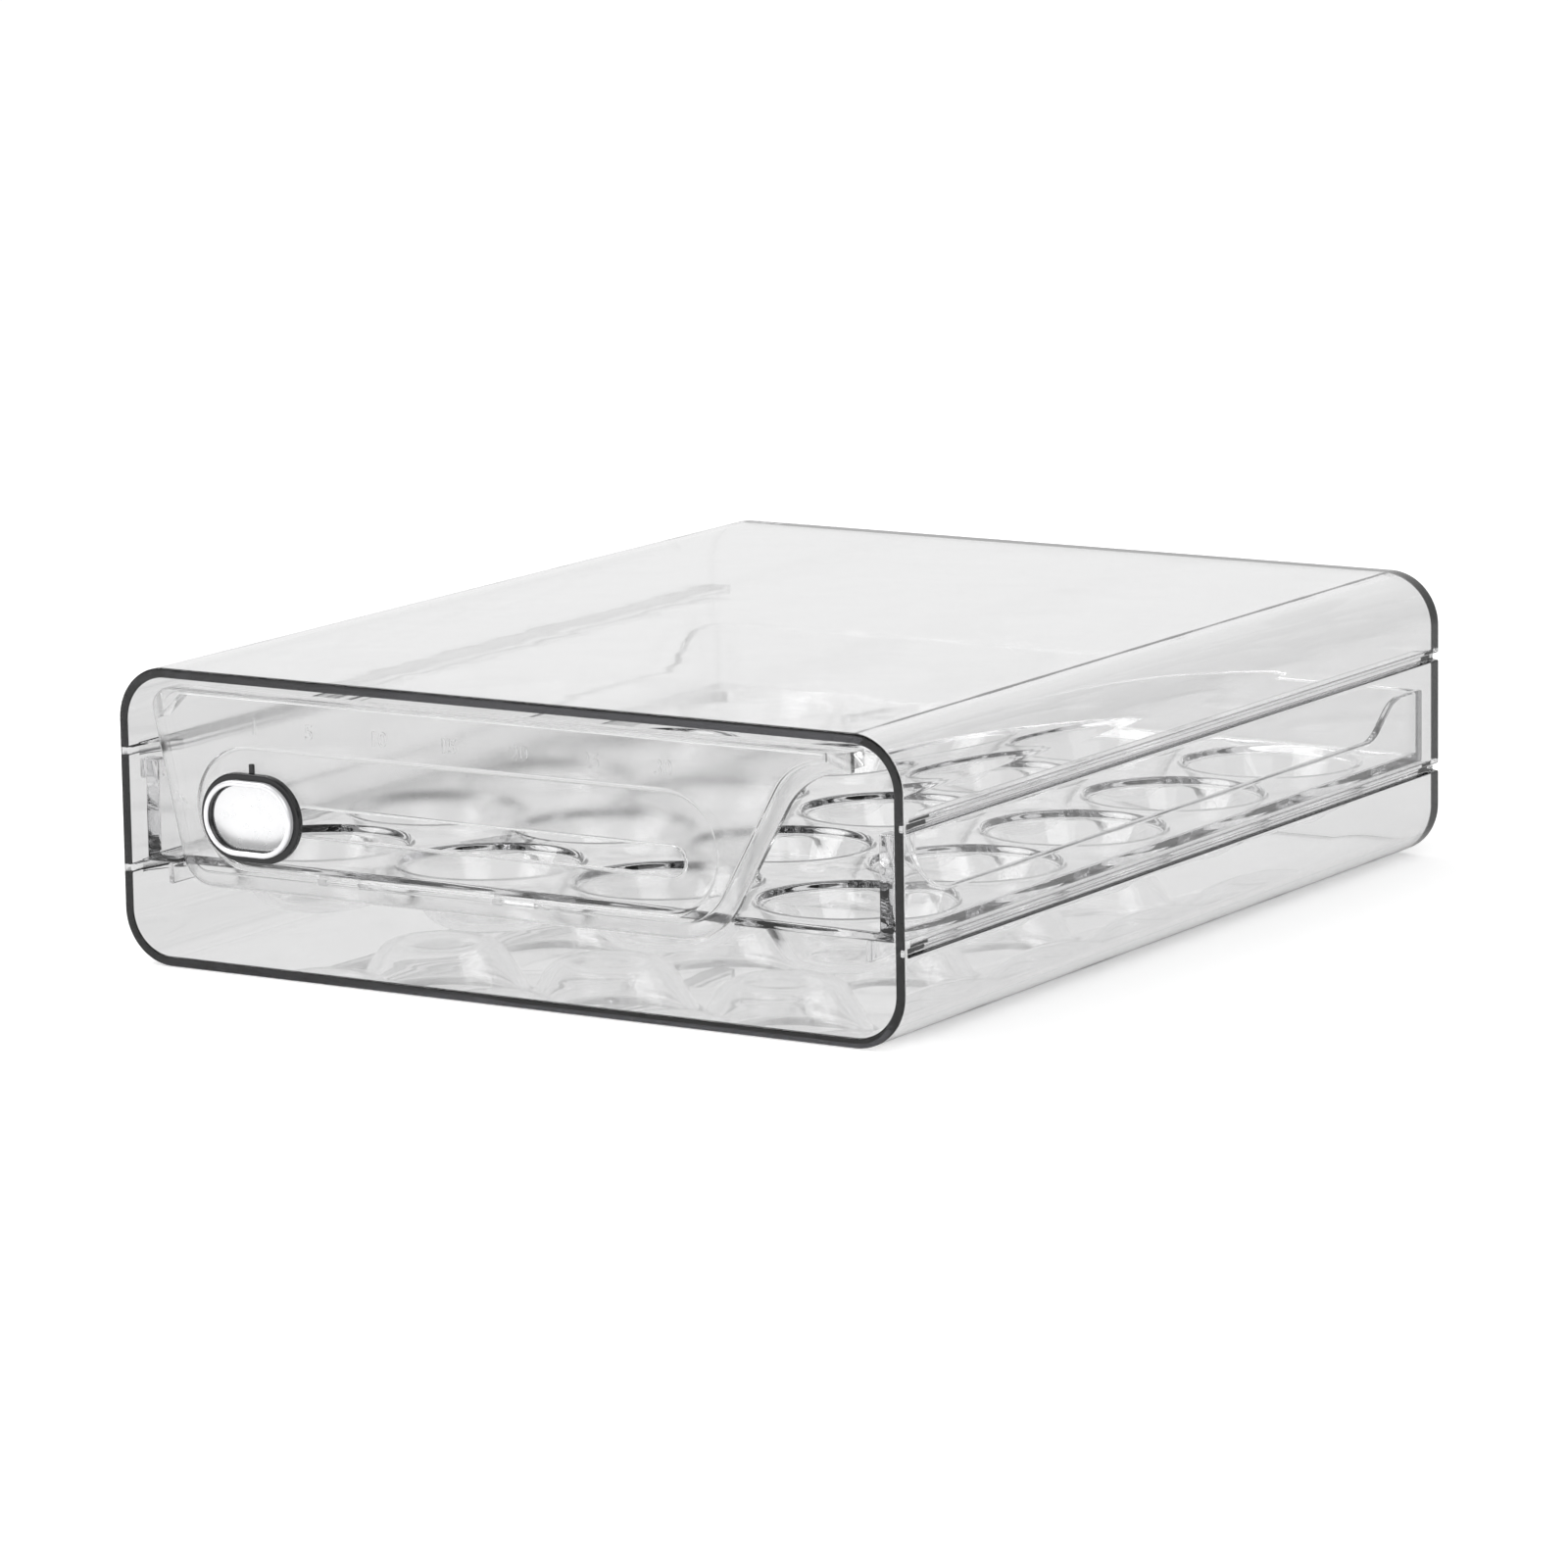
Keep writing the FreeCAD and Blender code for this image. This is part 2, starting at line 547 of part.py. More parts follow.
def make_front_panel():
    """The front plate with its bevelled border, marker recess and slot, lip, ears and feet."""
    body = make_body("front_panel")
    rim = make_sketch(body, "rim_outline", "XZ_Plane", "-" + cell("bevel_back"))
    add_outline(rim, PANEL_RIM)
    add_feature(body, "Pad", rim, "plate", "panel_edge", True)
    face = make_sketch(body, "face_outline", "XZ_Plane", "-" + cell("panel_setback"))
    add_outline(face, PANEL_FACE)
    loft = body.newObject("PartDesign::AdditiveLoft", "front_panel_bevel")
    loft.Profile = rim
    loft.Sections = [face]
    loft.Ruled = True
    body.Tip = loft
    lip = make_sketch(body, "lip_outline", "XZ_Plane", "-" + cell("deck_front"))
    corners = (
        ("-lip_left", "panel_top", None),
        ("-ear_left", "ear_top", None),
        ("-ear_left", "ear_base", None),
        ("-ear_left_end", "lip_base", None),
        ("ear_right_end", "lip_base", None),
        ("right_tip", "sweep_top", None),
        ("right_tip", "panel_top", None),
    )
    add_outline(lip, corners)
    add_feature(body, "Pad", lip, "lip", "lip_length", True)
    feet = make_sketch(body, "foot_outline", "XZ_Plane", "-" + cell("deck_front"))
    add_box(feet, "-foot_left_start", "-foot_left_end", "foot_base", "deck_base")
    add_box(feet, "-foot_half", "foot_half", "foot_base", "deck_base")
    add_feature(body, "Pad", feet, "feet", "foot_length", True)
    recess = make_sketch(body, "recess_outline", "XZ_Plane", "-" + cell("panel_setback"))
    add_oval(recess, "-recess_left", "recess_right", "recess_base", "recess_top", "recess_radius")
    add_feature(body, "Pocket", recess, "recess", "recess_depth")
    slot = make_sketch(body, "slot_outline", "XZ_Plane", "-" + cell("panel_setback"))
    add_oval(slot, "-slot_left", "slot_right", "slot_base", "slot_top", "slot_radius")
    add_feature(body, "Pocket", slot, "slot", "panel_thickness")
    return body


def make_marker_body(label):
    """A body of the marker, drawn from the marker's middle at day 1."""
    body = make_body(label)
    body.setExpression("Placement.Base.x", cell("marker_first"))
    body.setExpression("Placement.Base.z", cell("marker_centre"))
    return body


def add_marker_oval(body, name, half, radius, depth):
    """A sketch of an oval about the marker's middle, at a named depth behind the front rim."""
    sketch = make_sketch(body, name, "XZ_Plane", "-" + cell(depth))
    add_oval(sketch, "-" + half, half, "-" + radius, radius, radius)
    return sketch


def make_marker():
    """The date marker: black slide with pointer and stem, bezel, face and the retainer behind."""
    base = make_marker_body("marker_base")
    plate = add_marker_oval(base, "plate_outline", "marker_half", "marker_radius", "marker_front")
    add_feature(base, "Pad", plate, "plate", "marker_thickness", True)
    stem = add_marker_oval(base, "stem_outline", "stem_half", "stem_radius", "marker_back")
    add_feature(base, "Pad", stem, "stem", "stem_reach", True)
    pointer = make_sketch(base, "pointer_outline", "XZ_Plane", "-" + cell("marker_back"))
    add_box(pointer, "-pointer_half", "pointer_half", "pointer_base", "pointer_tip")
    add_feature(base, "Pad", pointer, "pointer", "pointer_thickness")
    bezel = make_marker_body("marker_bezel")
    ring = add_marker_oval(bezel, "ring_outline", "bezel_half", "bezel_radius", "marker_front")
    add_oval(ring, "-face_half", "face_half", "-face_radius", "face_radius", "face_radius")
    add_feature(bezel, "Pad", ring, "ring", "bezel_thickness")
    face = make_marker_body("marker_face")
    pillow = add_marker_oval(face, "pillow_outline", "face_half", "face_radius", "marker_front")
    add_feature(face, "Pad", pillow, "pillow", "face_thickness")
    retainer = make_marker_body("marker_retainer")
    keeper = add_marker_oval(
        retainer, "plate_outline", "retainer_half", "retainer_radius", "retainer_front"
    )
    add_feature(retainer, "Pad", keeper, "plate", "retainer_thickness", True)
    return [base, bezel, face, retainer]


def make_cups():
    """Every egg cup, row by row from the front."""
    rows = range(1, COUNTS["cups_deep"] + 1)
    columns = range(1, COUNTS["cups_across"] + 1)
    return [make_egg_cup(row, column) for row in rows for column in columns]


def check(pieces):
    """Stops if any object failed or any piece isn't one sound solid."""
    failed = [item.Name for item in doc.Objects if {"Invalid", "Error"} & set(item.State)]
    if failed:
        raise RuntimeError(f"failed objects: {failed}")
    for piece in pieces:
        shape = piece.Shape
        if shape.isNull() or not shape.isValid() or len(shape.Solids) != 1:
            raise RuntimeError(f"{piece.Label} isn't one sound solid")


pieces = [make_case(), make_tray_frame(), *make_cups(), make_front_panel(), *make_marker()]
doc.recompute()
check(pieces)
os.makedirs("parts", exist_ok=True)
for piece in pieces:
    piece.Shape.exportStep(f"parts/{piece.Label}.step")
    box = piece.Shape.BoundBox
    print(
        f"{piece.Label}: {piece.Shape.Volume / 1000:.2f} cm3,"
        f" x {box.XMin:.2f} to {box.XMax:.2f},"
        f" y {box.YMin:.2f} to {box.YMax:.2f}, z {box.ZMin:.2f} to {box.ZMax:.2f}"
    )
print(f"marker travel {value('marker_travel'):.2f} mm")
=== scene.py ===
"""Looks of the clear egg drawer: case, tray of egg cups, front plate and date marker.

Sizes are in millimetres until they go into a mesh, in the frame of the solids: +X right as seen from
the front, +Y to the back, +Z up, with the origin under the middle of the case.
"""
import bmesh
import bpy
import math
import numpy as np
from mathutils import Matrix


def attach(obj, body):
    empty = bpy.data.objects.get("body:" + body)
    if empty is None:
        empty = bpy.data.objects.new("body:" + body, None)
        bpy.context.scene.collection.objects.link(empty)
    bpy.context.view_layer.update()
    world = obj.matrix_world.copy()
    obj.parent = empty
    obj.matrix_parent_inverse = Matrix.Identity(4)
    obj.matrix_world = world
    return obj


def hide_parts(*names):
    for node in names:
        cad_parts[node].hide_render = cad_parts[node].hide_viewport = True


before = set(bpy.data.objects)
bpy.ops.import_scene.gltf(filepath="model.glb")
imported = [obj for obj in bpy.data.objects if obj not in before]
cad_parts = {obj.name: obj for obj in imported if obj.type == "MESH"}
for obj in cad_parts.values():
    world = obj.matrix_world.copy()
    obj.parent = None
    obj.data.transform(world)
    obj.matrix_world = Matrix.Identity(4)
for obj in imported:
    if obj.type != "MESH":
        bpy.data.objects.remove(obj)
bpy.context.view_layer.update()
scene = bpy.context.scene
MM = 0.001
HOLD_LIMIT = 0.25

# Case
CASE_HALF = 110.0
CASE_HEIGHT = 73.0
CASE_CORNER = 13.4
CORNER_STEPS = 24
CASE_FRONT = -132.5
CASE_BACK = 132.5
CASE_WALL = 2.4
INNER_HALF = CASE_HALF - CASE_WALL
INNER_TOP = CASE_HEIGHT - CASE_WALL
INNER_BACK = CASE_BACK - CASE_WALL
RIM_ROUND = 0.35
BACK_ROUND = 0.2
BACK_HOLD = 0.15
CASE_HOLD = 0.4

# Grooves and rails: how far out they reach and their four heights, then the radii at mouth and floor
GROOVES = ((108.4, 22.0, 22.2, 23.8, 24.0), (108.4, 50.7, 50.9, 52.5, 52.7))
GROOVE_ROUNDS = (0.4, 0.3)
GROOVE_START = CASE_FRONT + 1.4
GROOVE_STEP = 0.35
RAILS = ((100.4, 21.5, 21.7, 24.3, 24.5), (102.4, 50.2, 50.4, 53.0, 53.2))
RAIL_ROUNDS = (0.5, 0.4)
RAIL_START = CASE_FRONT + 4.5
RAIL_RAMP = 12.0
NOTCH_MARGIN = 1.0

# Deck and cups, with a cup's section as points of (radius, height)
DECK_BASE = 24.6
DECK_TOP = 26.8
DECK_FRONT = CASE_FRONT + 6.35
WING_FRONT = CASE_FRONT + 3.5
WINGS = (-96.05, 62.25)
WING_STEP = 0.15
ARRAY_HALF = 100.6
ARRAY_FRONT = CASE_FRONT + 8.1
ARRAY_BACK = CASE_FRONT + 259.6
CUPS_ACROSS = 4
CUPS_DEEP = 5
CUP_PITCH = 2 * ARRAY_HALF / CUPS_ACROSS
CUP_TURN = 72
CUP_INSIDE = ((0, 13.0), (13.0, 13.0), (22.0, DECK_TOP), (23.4, DECK_TOP))
CUP_INSIDE_ROUNDS = (0, 6.0, 1.2, 0)
CUP_OUTSIDE = ((0, 11.4), (14.6, 11.4), (22.31, DECK_BASE), (23.9, DECK_BASE))
CUP_OUTSIDE_ROUNDS = (0, 7.6, 1.5, 0)
EDGE_ROUND = 0.45
EDGE_STEPS = 4

# Walls of the tray, across from the cups' outer edge
TRAY_WALL = 2.0
SIDE_WALL_IN = 2.8
SIDE_WALL_OUT = 4.8
WALL_ROUND = 0.6
WALL_FOOT = 0.5
POST_IN = 0.8
POST_BACK = CASE_FRONT + 8.3
POST_TOP = 49.6
POST_TAPER = 26.0
LOW_RUN = (CASE_FRONT + 15.9, CASE_FRONT + 235.6)
LOW_RUN_TOP = 34.2
BACK_LAND = CASE_FRONT + 246.6
BACK_WALL_TOP = 43.3
WALL_LINE_ROUNDS = (0, 0.6, 20, 12, 12, 0)
WALL_SPOTS = (ARRAY_FRONT, POST_BACK + 0.3, CASE_FRONT + 28, CASE_FRONT + 232, CASE_FRONT + 250, ARRAY_BACK)
WALL_SHARES = (0.0, 0.07, 0.34, 0.54, 0.78, 1.0)

# Blocks at the tray's front corners: inner side, outer side and base
SKID = (97.8, 99.2, 19.6)
SKID_LENGTH = 12.0
GUIDE_TAB = (105.42, 107.0, 44.8)
BLOCK_GAP = 0.01
BLOCK_CORNER = 0.3
BLOCK_EDGE = 0.2
BLOCK_HOLD = 0.08

# Front plate: its outline, its sloped border, and the recess and slot as (left, right, middle, radius)
PLATE_FRONT = CASE_FRONT + 2.9
PLATE_BEVEL = CASE_FRONT + 5.0
PLATE_BACK = CASE_FRONT + 6.3
PLATE_TOP = 67.4
PLATE_BASE = 19.6
PLATE_LEFT = -104.8
PLATE_LEAN = math.radians(12.7)
PLATE_EDGE = 0.25
REAR_HOLD = 0.6
SWEEP_SLOPE = math.radians(61.0)
SWEEP_LOW = 57.87
SWEEP_DRAW = 0.15
RIM_TIP = (93.7, 62.6)
RIM_ROUNDS = (0, 5.0, 9.0, 19.0, 19.0, 0)
FACE_TIP = (87.5, 65.2)
FACE_ROUNDS = (0, 5.0, 4.6, 14.6, 14.0, 0)
FLAT_TIP = (87.2, 65.3)
FLAT_ROUNDS = (0, 4.6, 4.4, 14.4, 14.0, 0)
PLATE_BORDER = 4.4
FLAT_BORDER = PLATE_BORDER + 0.2
FACE_TOP = PLATE_TOP - 0.3
FLAT_TOP = PLATE_TOP - 0.6
BORDER_STEP = 0.36
BORDER_EDGE = 0.08
RECESS = (-74.48, 43.4, 40.05, 15.05)
RECESS_FLOOR = CASE_FRONT + 4.2
RECESS_EDGE = 0.3
RECESS_COVE = 0.9
RECESS_HOLD = 0.15
SLOT = (-76.03, 44.95, 37.9, 3.4)
SLOT_EDGE = 0.4
SLOT_HOLD = 0.3
FLAT_SATIN = 0.3
FLAT_FOCUS = 400
SLOPE_DEPTHS = (PLATE_FRONT + 0.3, PLATE_BEVEL - 0.2)
SLOPE_FACING = (0.5, 0.998)
BORDER_SATIN = (0.7, 1.0)
BORDER_SATIN_DEPTH = 1.4

# Lip and feet behind the plate, and the day numbers on it
LIP = (
    (-99.8, 67.3),
    (-102.6, 65.8),
    (-102.6, 59.0),
    (-95.6, 66.0),
    (86.7, 66.0),
    (93.4, 62.9),
    (93.4, 67.3),
)
LIP_LENGTH = 5.0
LIP_CORNER = 0.5
FEET = (-56.3, -6.0)
FOOT_WIDTH = 12.0
FOOT_BASE = 22.8
FOOT_LENGTH = 7.0
FOOT_CORNER = 0.4
FOOT_HOLD = 0.1
PLATE_GAP = 0.02
DAYS = (1, 5, 10, 15, 20, 25, 30)
DAY_ZERO = -76.0
DAY_PITCH = 4.0
DAY_LINE = 60.0
DAY_SIZE = 5.2
DAY_RISE = 0.18
DAY_GAP = 0.01

# Marker at day 1: the ring's inner edge as (half length, half height), the pieces' depths, and their
# sides as distances out from that edge
MARKER_X = -73.63
MARKER_Z = 37.9
WELL = (11.6, 8.0)
WELL_FLOOR = CASE_FRONT + 3.5
RING_FRONT = CASE_FRONT + 0.6
LINER_TOP = RING_FRONT + 0.55
SLIDE_FRONT = CASE_FRONT + 2.2
SLIDE_BACK = CASE_FRONT + 3.95
STEM_BACK = CASE_FRONT + 6.55
SLIDE_SIDES = (-2.0, 2.8)
LINER_SIDES = (-0.05, 0.25)
RING_SIDES = (-0.1, 0.3, 1.2)
RING_GAPS = (0.1, 0.05)
DISH = (11.5, 7.9)
DISH_RISE = 0.7
DISH_BASE = WELL_FLOOR - 0.02
DISH_MIDDLE = WELL_FLOOR - 0.1
STEM = (5.5, 3.1)
STEM_FRONT = SLIDE_BACK - 0.3
STEM_EDGE = 0.2
KEEPER = (10.0, 6.5)
KEEPER_DEPTH = 1.4
KEEPER_EDGE = 0.3
POINTER_HALF = 0.65
POINTER_FRONT = SLIDE_BACK - 0.8
POINTER_CORNER = 0.3
POINTER_EDGE = 0.15
POINTER_HOLD = 0.1
POINTER_HEIGHTS = (MARKER_Z + 9.6, MARKER_Z + 13.1)

# Studio, with places and the lamps' size in metres: the way from the camera to the backdrop, how much
# light each kind of ray sees, how often light may bend or be mirrored, the lamps and the camera
BACKDROP_WAY = (-0.53, 0.85, 0.0)
DARK_SIDE = 0.3
MIRRORED_FADE = (0.0, 0.9)
THROUGH_FADE = (0.2, 0.9)
ROOM_LIGHT = 0.75
FLOOR_PALE = 0.85
FLOOR_GLOW = 0.4
FLOOR_THROUGH = 0.76
BACKDROP_THROUGH = 0.88
FLOOR_MIRRORED = 0.06
BENDS = 48
MIRRORINGS = 16
LAMP_SIZE = 0.9
LAMPS = (("key", (-0.7, -0.6, 1.1), 9.0), ("fill", (0.9, -0.7, 0.9), 5.0))
CAMERA_PLACE = (0.9624, -1.5403, 0.3691)
CAMERA_YAW = -0.5606
CAMERA_PITCH = -0.1840
CAMERA_ROLL = -0.0156
CAMERA_LENS = 170.66


def unit(vectors):
    """Vectors at length 1. A vector of no length stays as it is."""
    length = np.linalg.norm(vectors, axis=-1, keepdims=True)
    return vectors / np.where(length < 1e-12, 1.0, length)


def rounded(corners, radii, steps, runs, closed=True, hold=0.4):
    """An outline with round corners. Each corner gives way to a tangent arc of its radius, turned
    through in equal angles. The straight run after it has points close to its two ends, and some in
    between."""
    corners = np.asarray(corners, float)
    radii = np.broadcast_to(np.asarray(radii, float), corners.shape[:-1])
    count = corners.shape[-2]
    back = unit(np.roll(corners, 1, -2) - corners)
    ahead = unit(np.roll(corners, -1, -2) - corners)
    half = np.arccos(np.clip((back * ahead).sum(-1), -1.0, 1.0)) / 2
    half = np.where(radii > 0, half, np.pi / 4)
    side = np.sign(ahead[..., 0] * back[..., 1] - ahead[..., 1] * back[..., 0])
    reach = (radii / np.tan(half))[..., None]
    centres = corners + unit(back + ahead) * (radii / np.sin(half))[..., None]
    entries = corners + back * reach
    exits = corners + ahead * reach
    sweep = (np.pi - 2 * half) * side
    parts = []
    for i in range(count):
        angle = sweep[..., i, None] * np.linspace(0.0, 1.0, steps[i] + 1)
        arm = (entries - centres)[..., i, None, :]
        turned_x = arm[..., 0] * np.cos(angle) - arm[..., 1] * np.sin(angle)
        turned_y = arm[..., 0] * np.sin(angle) + arm[..., 1] * np.cos(angle)
        parts.append(centres[..., i, None, :] + np.stack([turned_x, turned_y], -1))
        if i == count - 1 and not closed:
            break
        start = exits[..., i, None, :]
        run = entries[..., (i + 1) % count, None, :] - start
        near = np.minimum(hold / np.maximum(np.linalg.norm(run, axis=-1), 1e-9), HOLD_LIMIT)
        share = near + (1 - 2 * near) * np.linspace(0.0, 1.0, runs[i] + 2)
        parts.append(start + run * share[..., None])
    return np.concatenate(parts, axis=-2)


def inset(loop, distance):
    """A closed loop moved to its left by a distance, along the normal of the chord past each point."""
    along = unit(np.roll(loop, -1, 0) - np.roll(loop, 1, 0))
    return loop + distance * np.stack([-along[:, 1], along[:, 0]], -1)


def quarter(steps=EDGE_STEPS):
    """Shares of a quarter turn: how far in and how far back each step of a round edge is."""
    angle = np.linspace(0.0, np.pi / 2, steps + 1)
    return np.stack([1 - np.sin(angle), 1 - np.cos(angle)], -1)


def stand(loop, depth):
    """A loop of (across, up) set upright at a depth: points (across, depth, up)."""
    depth = np.broadcast_to(depth, loop.shape[:-1])
    return np.stack([loop[..., 0], depth, loop[..., 1]], -1)


def grid_quads(rows, columns, loop_rows=False, loop_columns=False):
    """Quads of a grid of points numbered row by row, joined end to end where it is a loop."""
    row = np.arange(rows if loop_rows else rows - 1)[:, None]
    column = np.arange(columns if loop_columns else columns - 1)[None, :]
    next_row = (row + 1) % rows
    next_column = (column + 1) % columns
    corners = (
        row * columns + column,
        row * columns + next_column,
        next_row * columns + next_column,
        next_row * columns + column,
    )
    return np.stack(np.broadcast_arrays(*corners), -1).reshape(-1, 4).tolist()


def grid_patch(points, loop_rows=False, loop_columns=False, caps=False):
    """A patch over a grid of points (rows, columns, 3), with its first and last rows closed if asked."""
    rows, columns = points.shape[:2]
    faces = grid_quads(rows, columns, loop_rows, loop_columns)
    if caps:
        faces.append(list(range(columns))[::-1])
        faces.append(list(range((rows - 1) * columns, rows * columns)))
    return points.reshape(-1, 3), faces


def ring_patch(outer, inner):
    """A flat ring between two loops that go the same way round, as two faces that meet on the middle
    line above and below the hole."""
    halves = []
    for loop, first in ((outer, 0), (inner, len(outer))):
        low = loop[:, 2] < loop[:, 2].mean()
        top = np.argmin(np.abs(loop[:, 0]) + 1000 * low)
        base = np.argmin(np.abs(loop[:, 0]) + 1000 * ~low)
        order = first + (np.arange(len(loop)) + top) % len(loop)
        split = (base - top) % len(loop)
        halves.append((order[:split + 1], np.append(order[split:], order[0])))
    faces = [np.concatenate([near, far[::-1]]).tolist() for near, far in zip(*halves)]
    return np.concatenate([outer, inner]), faces


def slab(loop, front, back, edge, hold=0.3):
    """A flat piece with round edges: an upright outline carried from one depth to another. At both ends
    it draws in and turns over by a quarter circle."""
    rows = [stand(inset(loop, edge + hold), front)]
    rows += [stand(inset(loop, edge * a), front + edge * b) for a, b in quarter()]
    rows += [stand(inset(loop, edge * a), back - edge * b) for a, b in quarter()[::-1]]
    rows.append(stand(inset(loop, edge + hold), back))
    return grid_patch(np.stack(rows), loop_columns=True, caps=True)


def box_outline(left, right, base, top, radius):
    """A rectangle with round corners, as a loop."""
    corners = ((left, base), (right, base), (right, top), (left, top))
    return rounded(corners, radius, [3] * 4, [0] * 4)


def stadium(turn, left, right, middle, radius):
    """A slot shape by a turn of 0 to 4: right half circle, top run, left half circle, bottom run."""
    turn = np.asarray(turn) % 4
    on_right, on_left = turn < 1, (turn >= 2) & (turn < 3)
    on_run = np.where(turn < 2, 0.5, 1.5)
    angle = np.select([on_right, on_left], [turn - 0.5, turn - 1.5], on_run) * np.pi
    along = np.select([on_right, turn < 2, on_left], [0 * turn, turn - 1, 0 * turn + 1], 4 - turn)
    across = right + (left - right) * along + radius * np.cos(angle)
    return np.stack([across, middle + radius * np.sin(angle)], -1)


def make_piece(name, patches, body, material, nodes=()):
    """One welded mesh from patches of points and faces, riding on a body in place of some CAD nodes."""
    points, faces, count = [], [], 0
    for patch_points, patch_faces in patches:
        points.append(patch_points)
        faces += [[count + i for i in face] for face in patch_faces]
        count += len(patch_points)
    mesh = bpy.data.meshes.new(name)
    mesh.from_pydata((np.concatenate(points) * MM).tolist(), [], faces)
    work = bmesh.new()
    work.from_mesh(mesh)
    bmesh.ops.remove_doubles(work, verts=work.verts, dist=2e-6)
    bmesh.ops.dissolve_degenerate(work, edges=work.edges, dist=1e-6)
    bmesh.ops.recalc_face_normals(work, faces=work.faces)
    work.to_mesh(mesh)
    work.free()
    mesh.polygons.foreach_set("use_smooth", np.ones(len(mesh.polygons), bool))
    mesh.materials.append(material)
    piece = bpy.data.objects.new(name, mesh)
    scene.collection.objects.link(piece)
    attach(piece, body)
    if nodes:
        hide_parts(*nodes)
    return piece


def node_maker(nodes):
    """A function that adds a node to a tree and sets its values."""
    def add(kind, **values):
        node = nodes.new(kind)
        for key, value in values.items():
            if key in node.inputs:
                node.inputs[key].default_value = value
            else:
                setattr(node, key, value)
        return node

    return add


def new_material(name):
    """A material with a Principled shader, and a function that adds a node to it."""
    material = bpy.data.materials.new(name)
    material.use_nodes = True
    tree = material.node_tree
    shader = tree.nodes["Principled BSDF"]
    return material, tree, shader, node_maker(tree.nodes)


def clear_plastic(name, density, wave, stretch, satin=0.0):
    """Clear moulded plastic: it refracts, takes up a little light along the way, and has the faint
    waviness of a moulded wall, drawn out along X, and a finer, fainter haze in its polish. A satin level
    adds to the haze where a piece has its satin attribute."""
    material, tree, shader, add = new_material(name)
    shader.inputs["Base Color"].default_value = (1.0, 1.0, 1.0, 1.0)
    shader.inputs["Transmission Weight"].default_value = 1.0
    shader.inputs["IOR"].default_value = 1.53
    place = add("ShaderNodeTexCoord")
    flow = add("ShaderNodeMapping", Scale=(1.0 / stretch, 1.0, 1.0))
    tree.links.new(place.outputs["Object"], flow.inputs["Vector"])
    ripple = add("ShaderNodeTexNoise", Scale=38.0, Detail=1.5, Roughness=0.4)
    tree.links.new(flow.outputs["Vector"], ripple.inputs["Vector"])
    bump = add("ShaderNodeBump", Strength=1.0, Distance=wave * MM)
    tree.links.new(ripple.outputs["Fac"], bump.inputs["Height"])
    tree.links.new(bump.outputs["Normal"], shader.inputs["Normal"])
    haze = add("ShaderNodeTexNoise", Scale=160.0, Detail=3.0, Roughness=0.6)
    tree.links.new(place.outputs["Object"], haze.inputs["Vector"])
    polish = add("ShaderNodeMapRange")
    polish.inputs["To Min"].default_value = 0.0
    polish.inputs["To Max"].default_value = 0.03
    tree.links.new(haze.outputs["Fac"], polish.inputs["Value"])
    roughness = polish.outputs["Result"]
    if satin:
        flats = add("ShaderNodeAttribute", attribute_name="satin")
        matt = add("ShaderNodeMath", operation="MULTIPLY_ADD")
        matt.inputs[1].default_value = satin
        tree.links.new(flats.outputs["Fac"], matt.inputs[0])
        tree.links.new(roughness, matt.inputs[2])
        roughness = matt.outputs[0]
    tree.links.new(roughness, shader.inputs["Roughness"])
    tint = add("ShaderNodeVolumeAbsorption", Color=(0.04, 0.04, 0.08, 1.0), Density=density)
    output = tree.nodes["Material Output"]
    tree.links.new(tint.outputs["Volume"], output.inputs["Volume"])
    return material


def plated(name, colour, metal, roughness, grain):
    """Plated plastic: a bright skin, in part metal, whose polish varies a little over the surface."""
    material, tree, shader, add = new_material(name)
    shader.inputs["Base Color"].default_value = (*colour, 1.0)
    shader.inputs["Metallic"].default_value = metal
    place = add("ShaderNodeTexCoord")
    noise = add("ShaderNodeTexNoise", Scale=grain, Detail=4.0)
    tree.links.new(place.outputs["Object"], noise.inputs["Vector"])
    polish = add("ShaderNodeMapRange")
    polish.inputs["To Min"].default_value = roughness * 0.8
    polish.inputs["To Max"].default_value = roughness * 1.2
    tree.links.new(noise.outputs["Fac"], polish.inputs["Value"])
    tree.links.new(polish.outputs["Result"], shader.inputs["Roughness"])
    return material


def black_gloss(name):
    """Black moulded plastic with a fine orange-peel surface and handling haze."""
    material, tree, shader, add = new_material(name)
    shader.inputs["Base Color"].default_value = (0.012, 0.012, 0.013, 1.0)
    place = add("ShaderNodeTexCoord")
    peel = add("ShaderNodeTexNoise", Scale=900.0, Detail=2.0)
    tree.links.new(place.outputs["Object"], peel.inputs["Vector"])
    bump = add("ShaderNodeBump", Strength=0.15, Distance=0.0001)
    tree.links.new(peel.outputs["Fac"], bump.inputs["Height"])
    tree.links.new(bump.outputs["Normal"], shader.inputs["Normal"])
    haze = add("ShaderNodeTexNoise", Scale=120.0, Detail=3.0)
    tree.links.new(place.outputs["Object"], haze.inputs["Vector"])
    polish = add("ShaderNodeMapRange")
    polish.inputs["To Min"].default_value = 0.14
    polish.inputs["To Max"].default_value = 0.3
    tree.links.new(haze.outputs["Fac"], polish.inputs["Value"])
    tree.links.new(polish.outputs["Result"], shader.inputs["Roughness"])
    return material


def sleeve_outline(half, base, top, corner, notches, mouth, floor):
    """A round-cornered section with a notch or a rail at two heights on each side."""
    right, radii = [(half, base)], [corner]
    for reach, z1, z2, z3, z4 in notches:
        right += [(half, z1), (reach, z2), (reach, z3), (half, z4)]
        radii += [mouth, floor, floor, mouth]
    right.append((half, top))
    radii.append(corner)
    left = [(-x, z) for x, z in reversed(right)]
    corners, radii = right + left, radii + radii[::-1]
    steps = [CORNER_STEPS if radius == corner else EDGE_STEPS for radius in radii]
    return rounded(corners, radii, steps, [1] * len(corners))


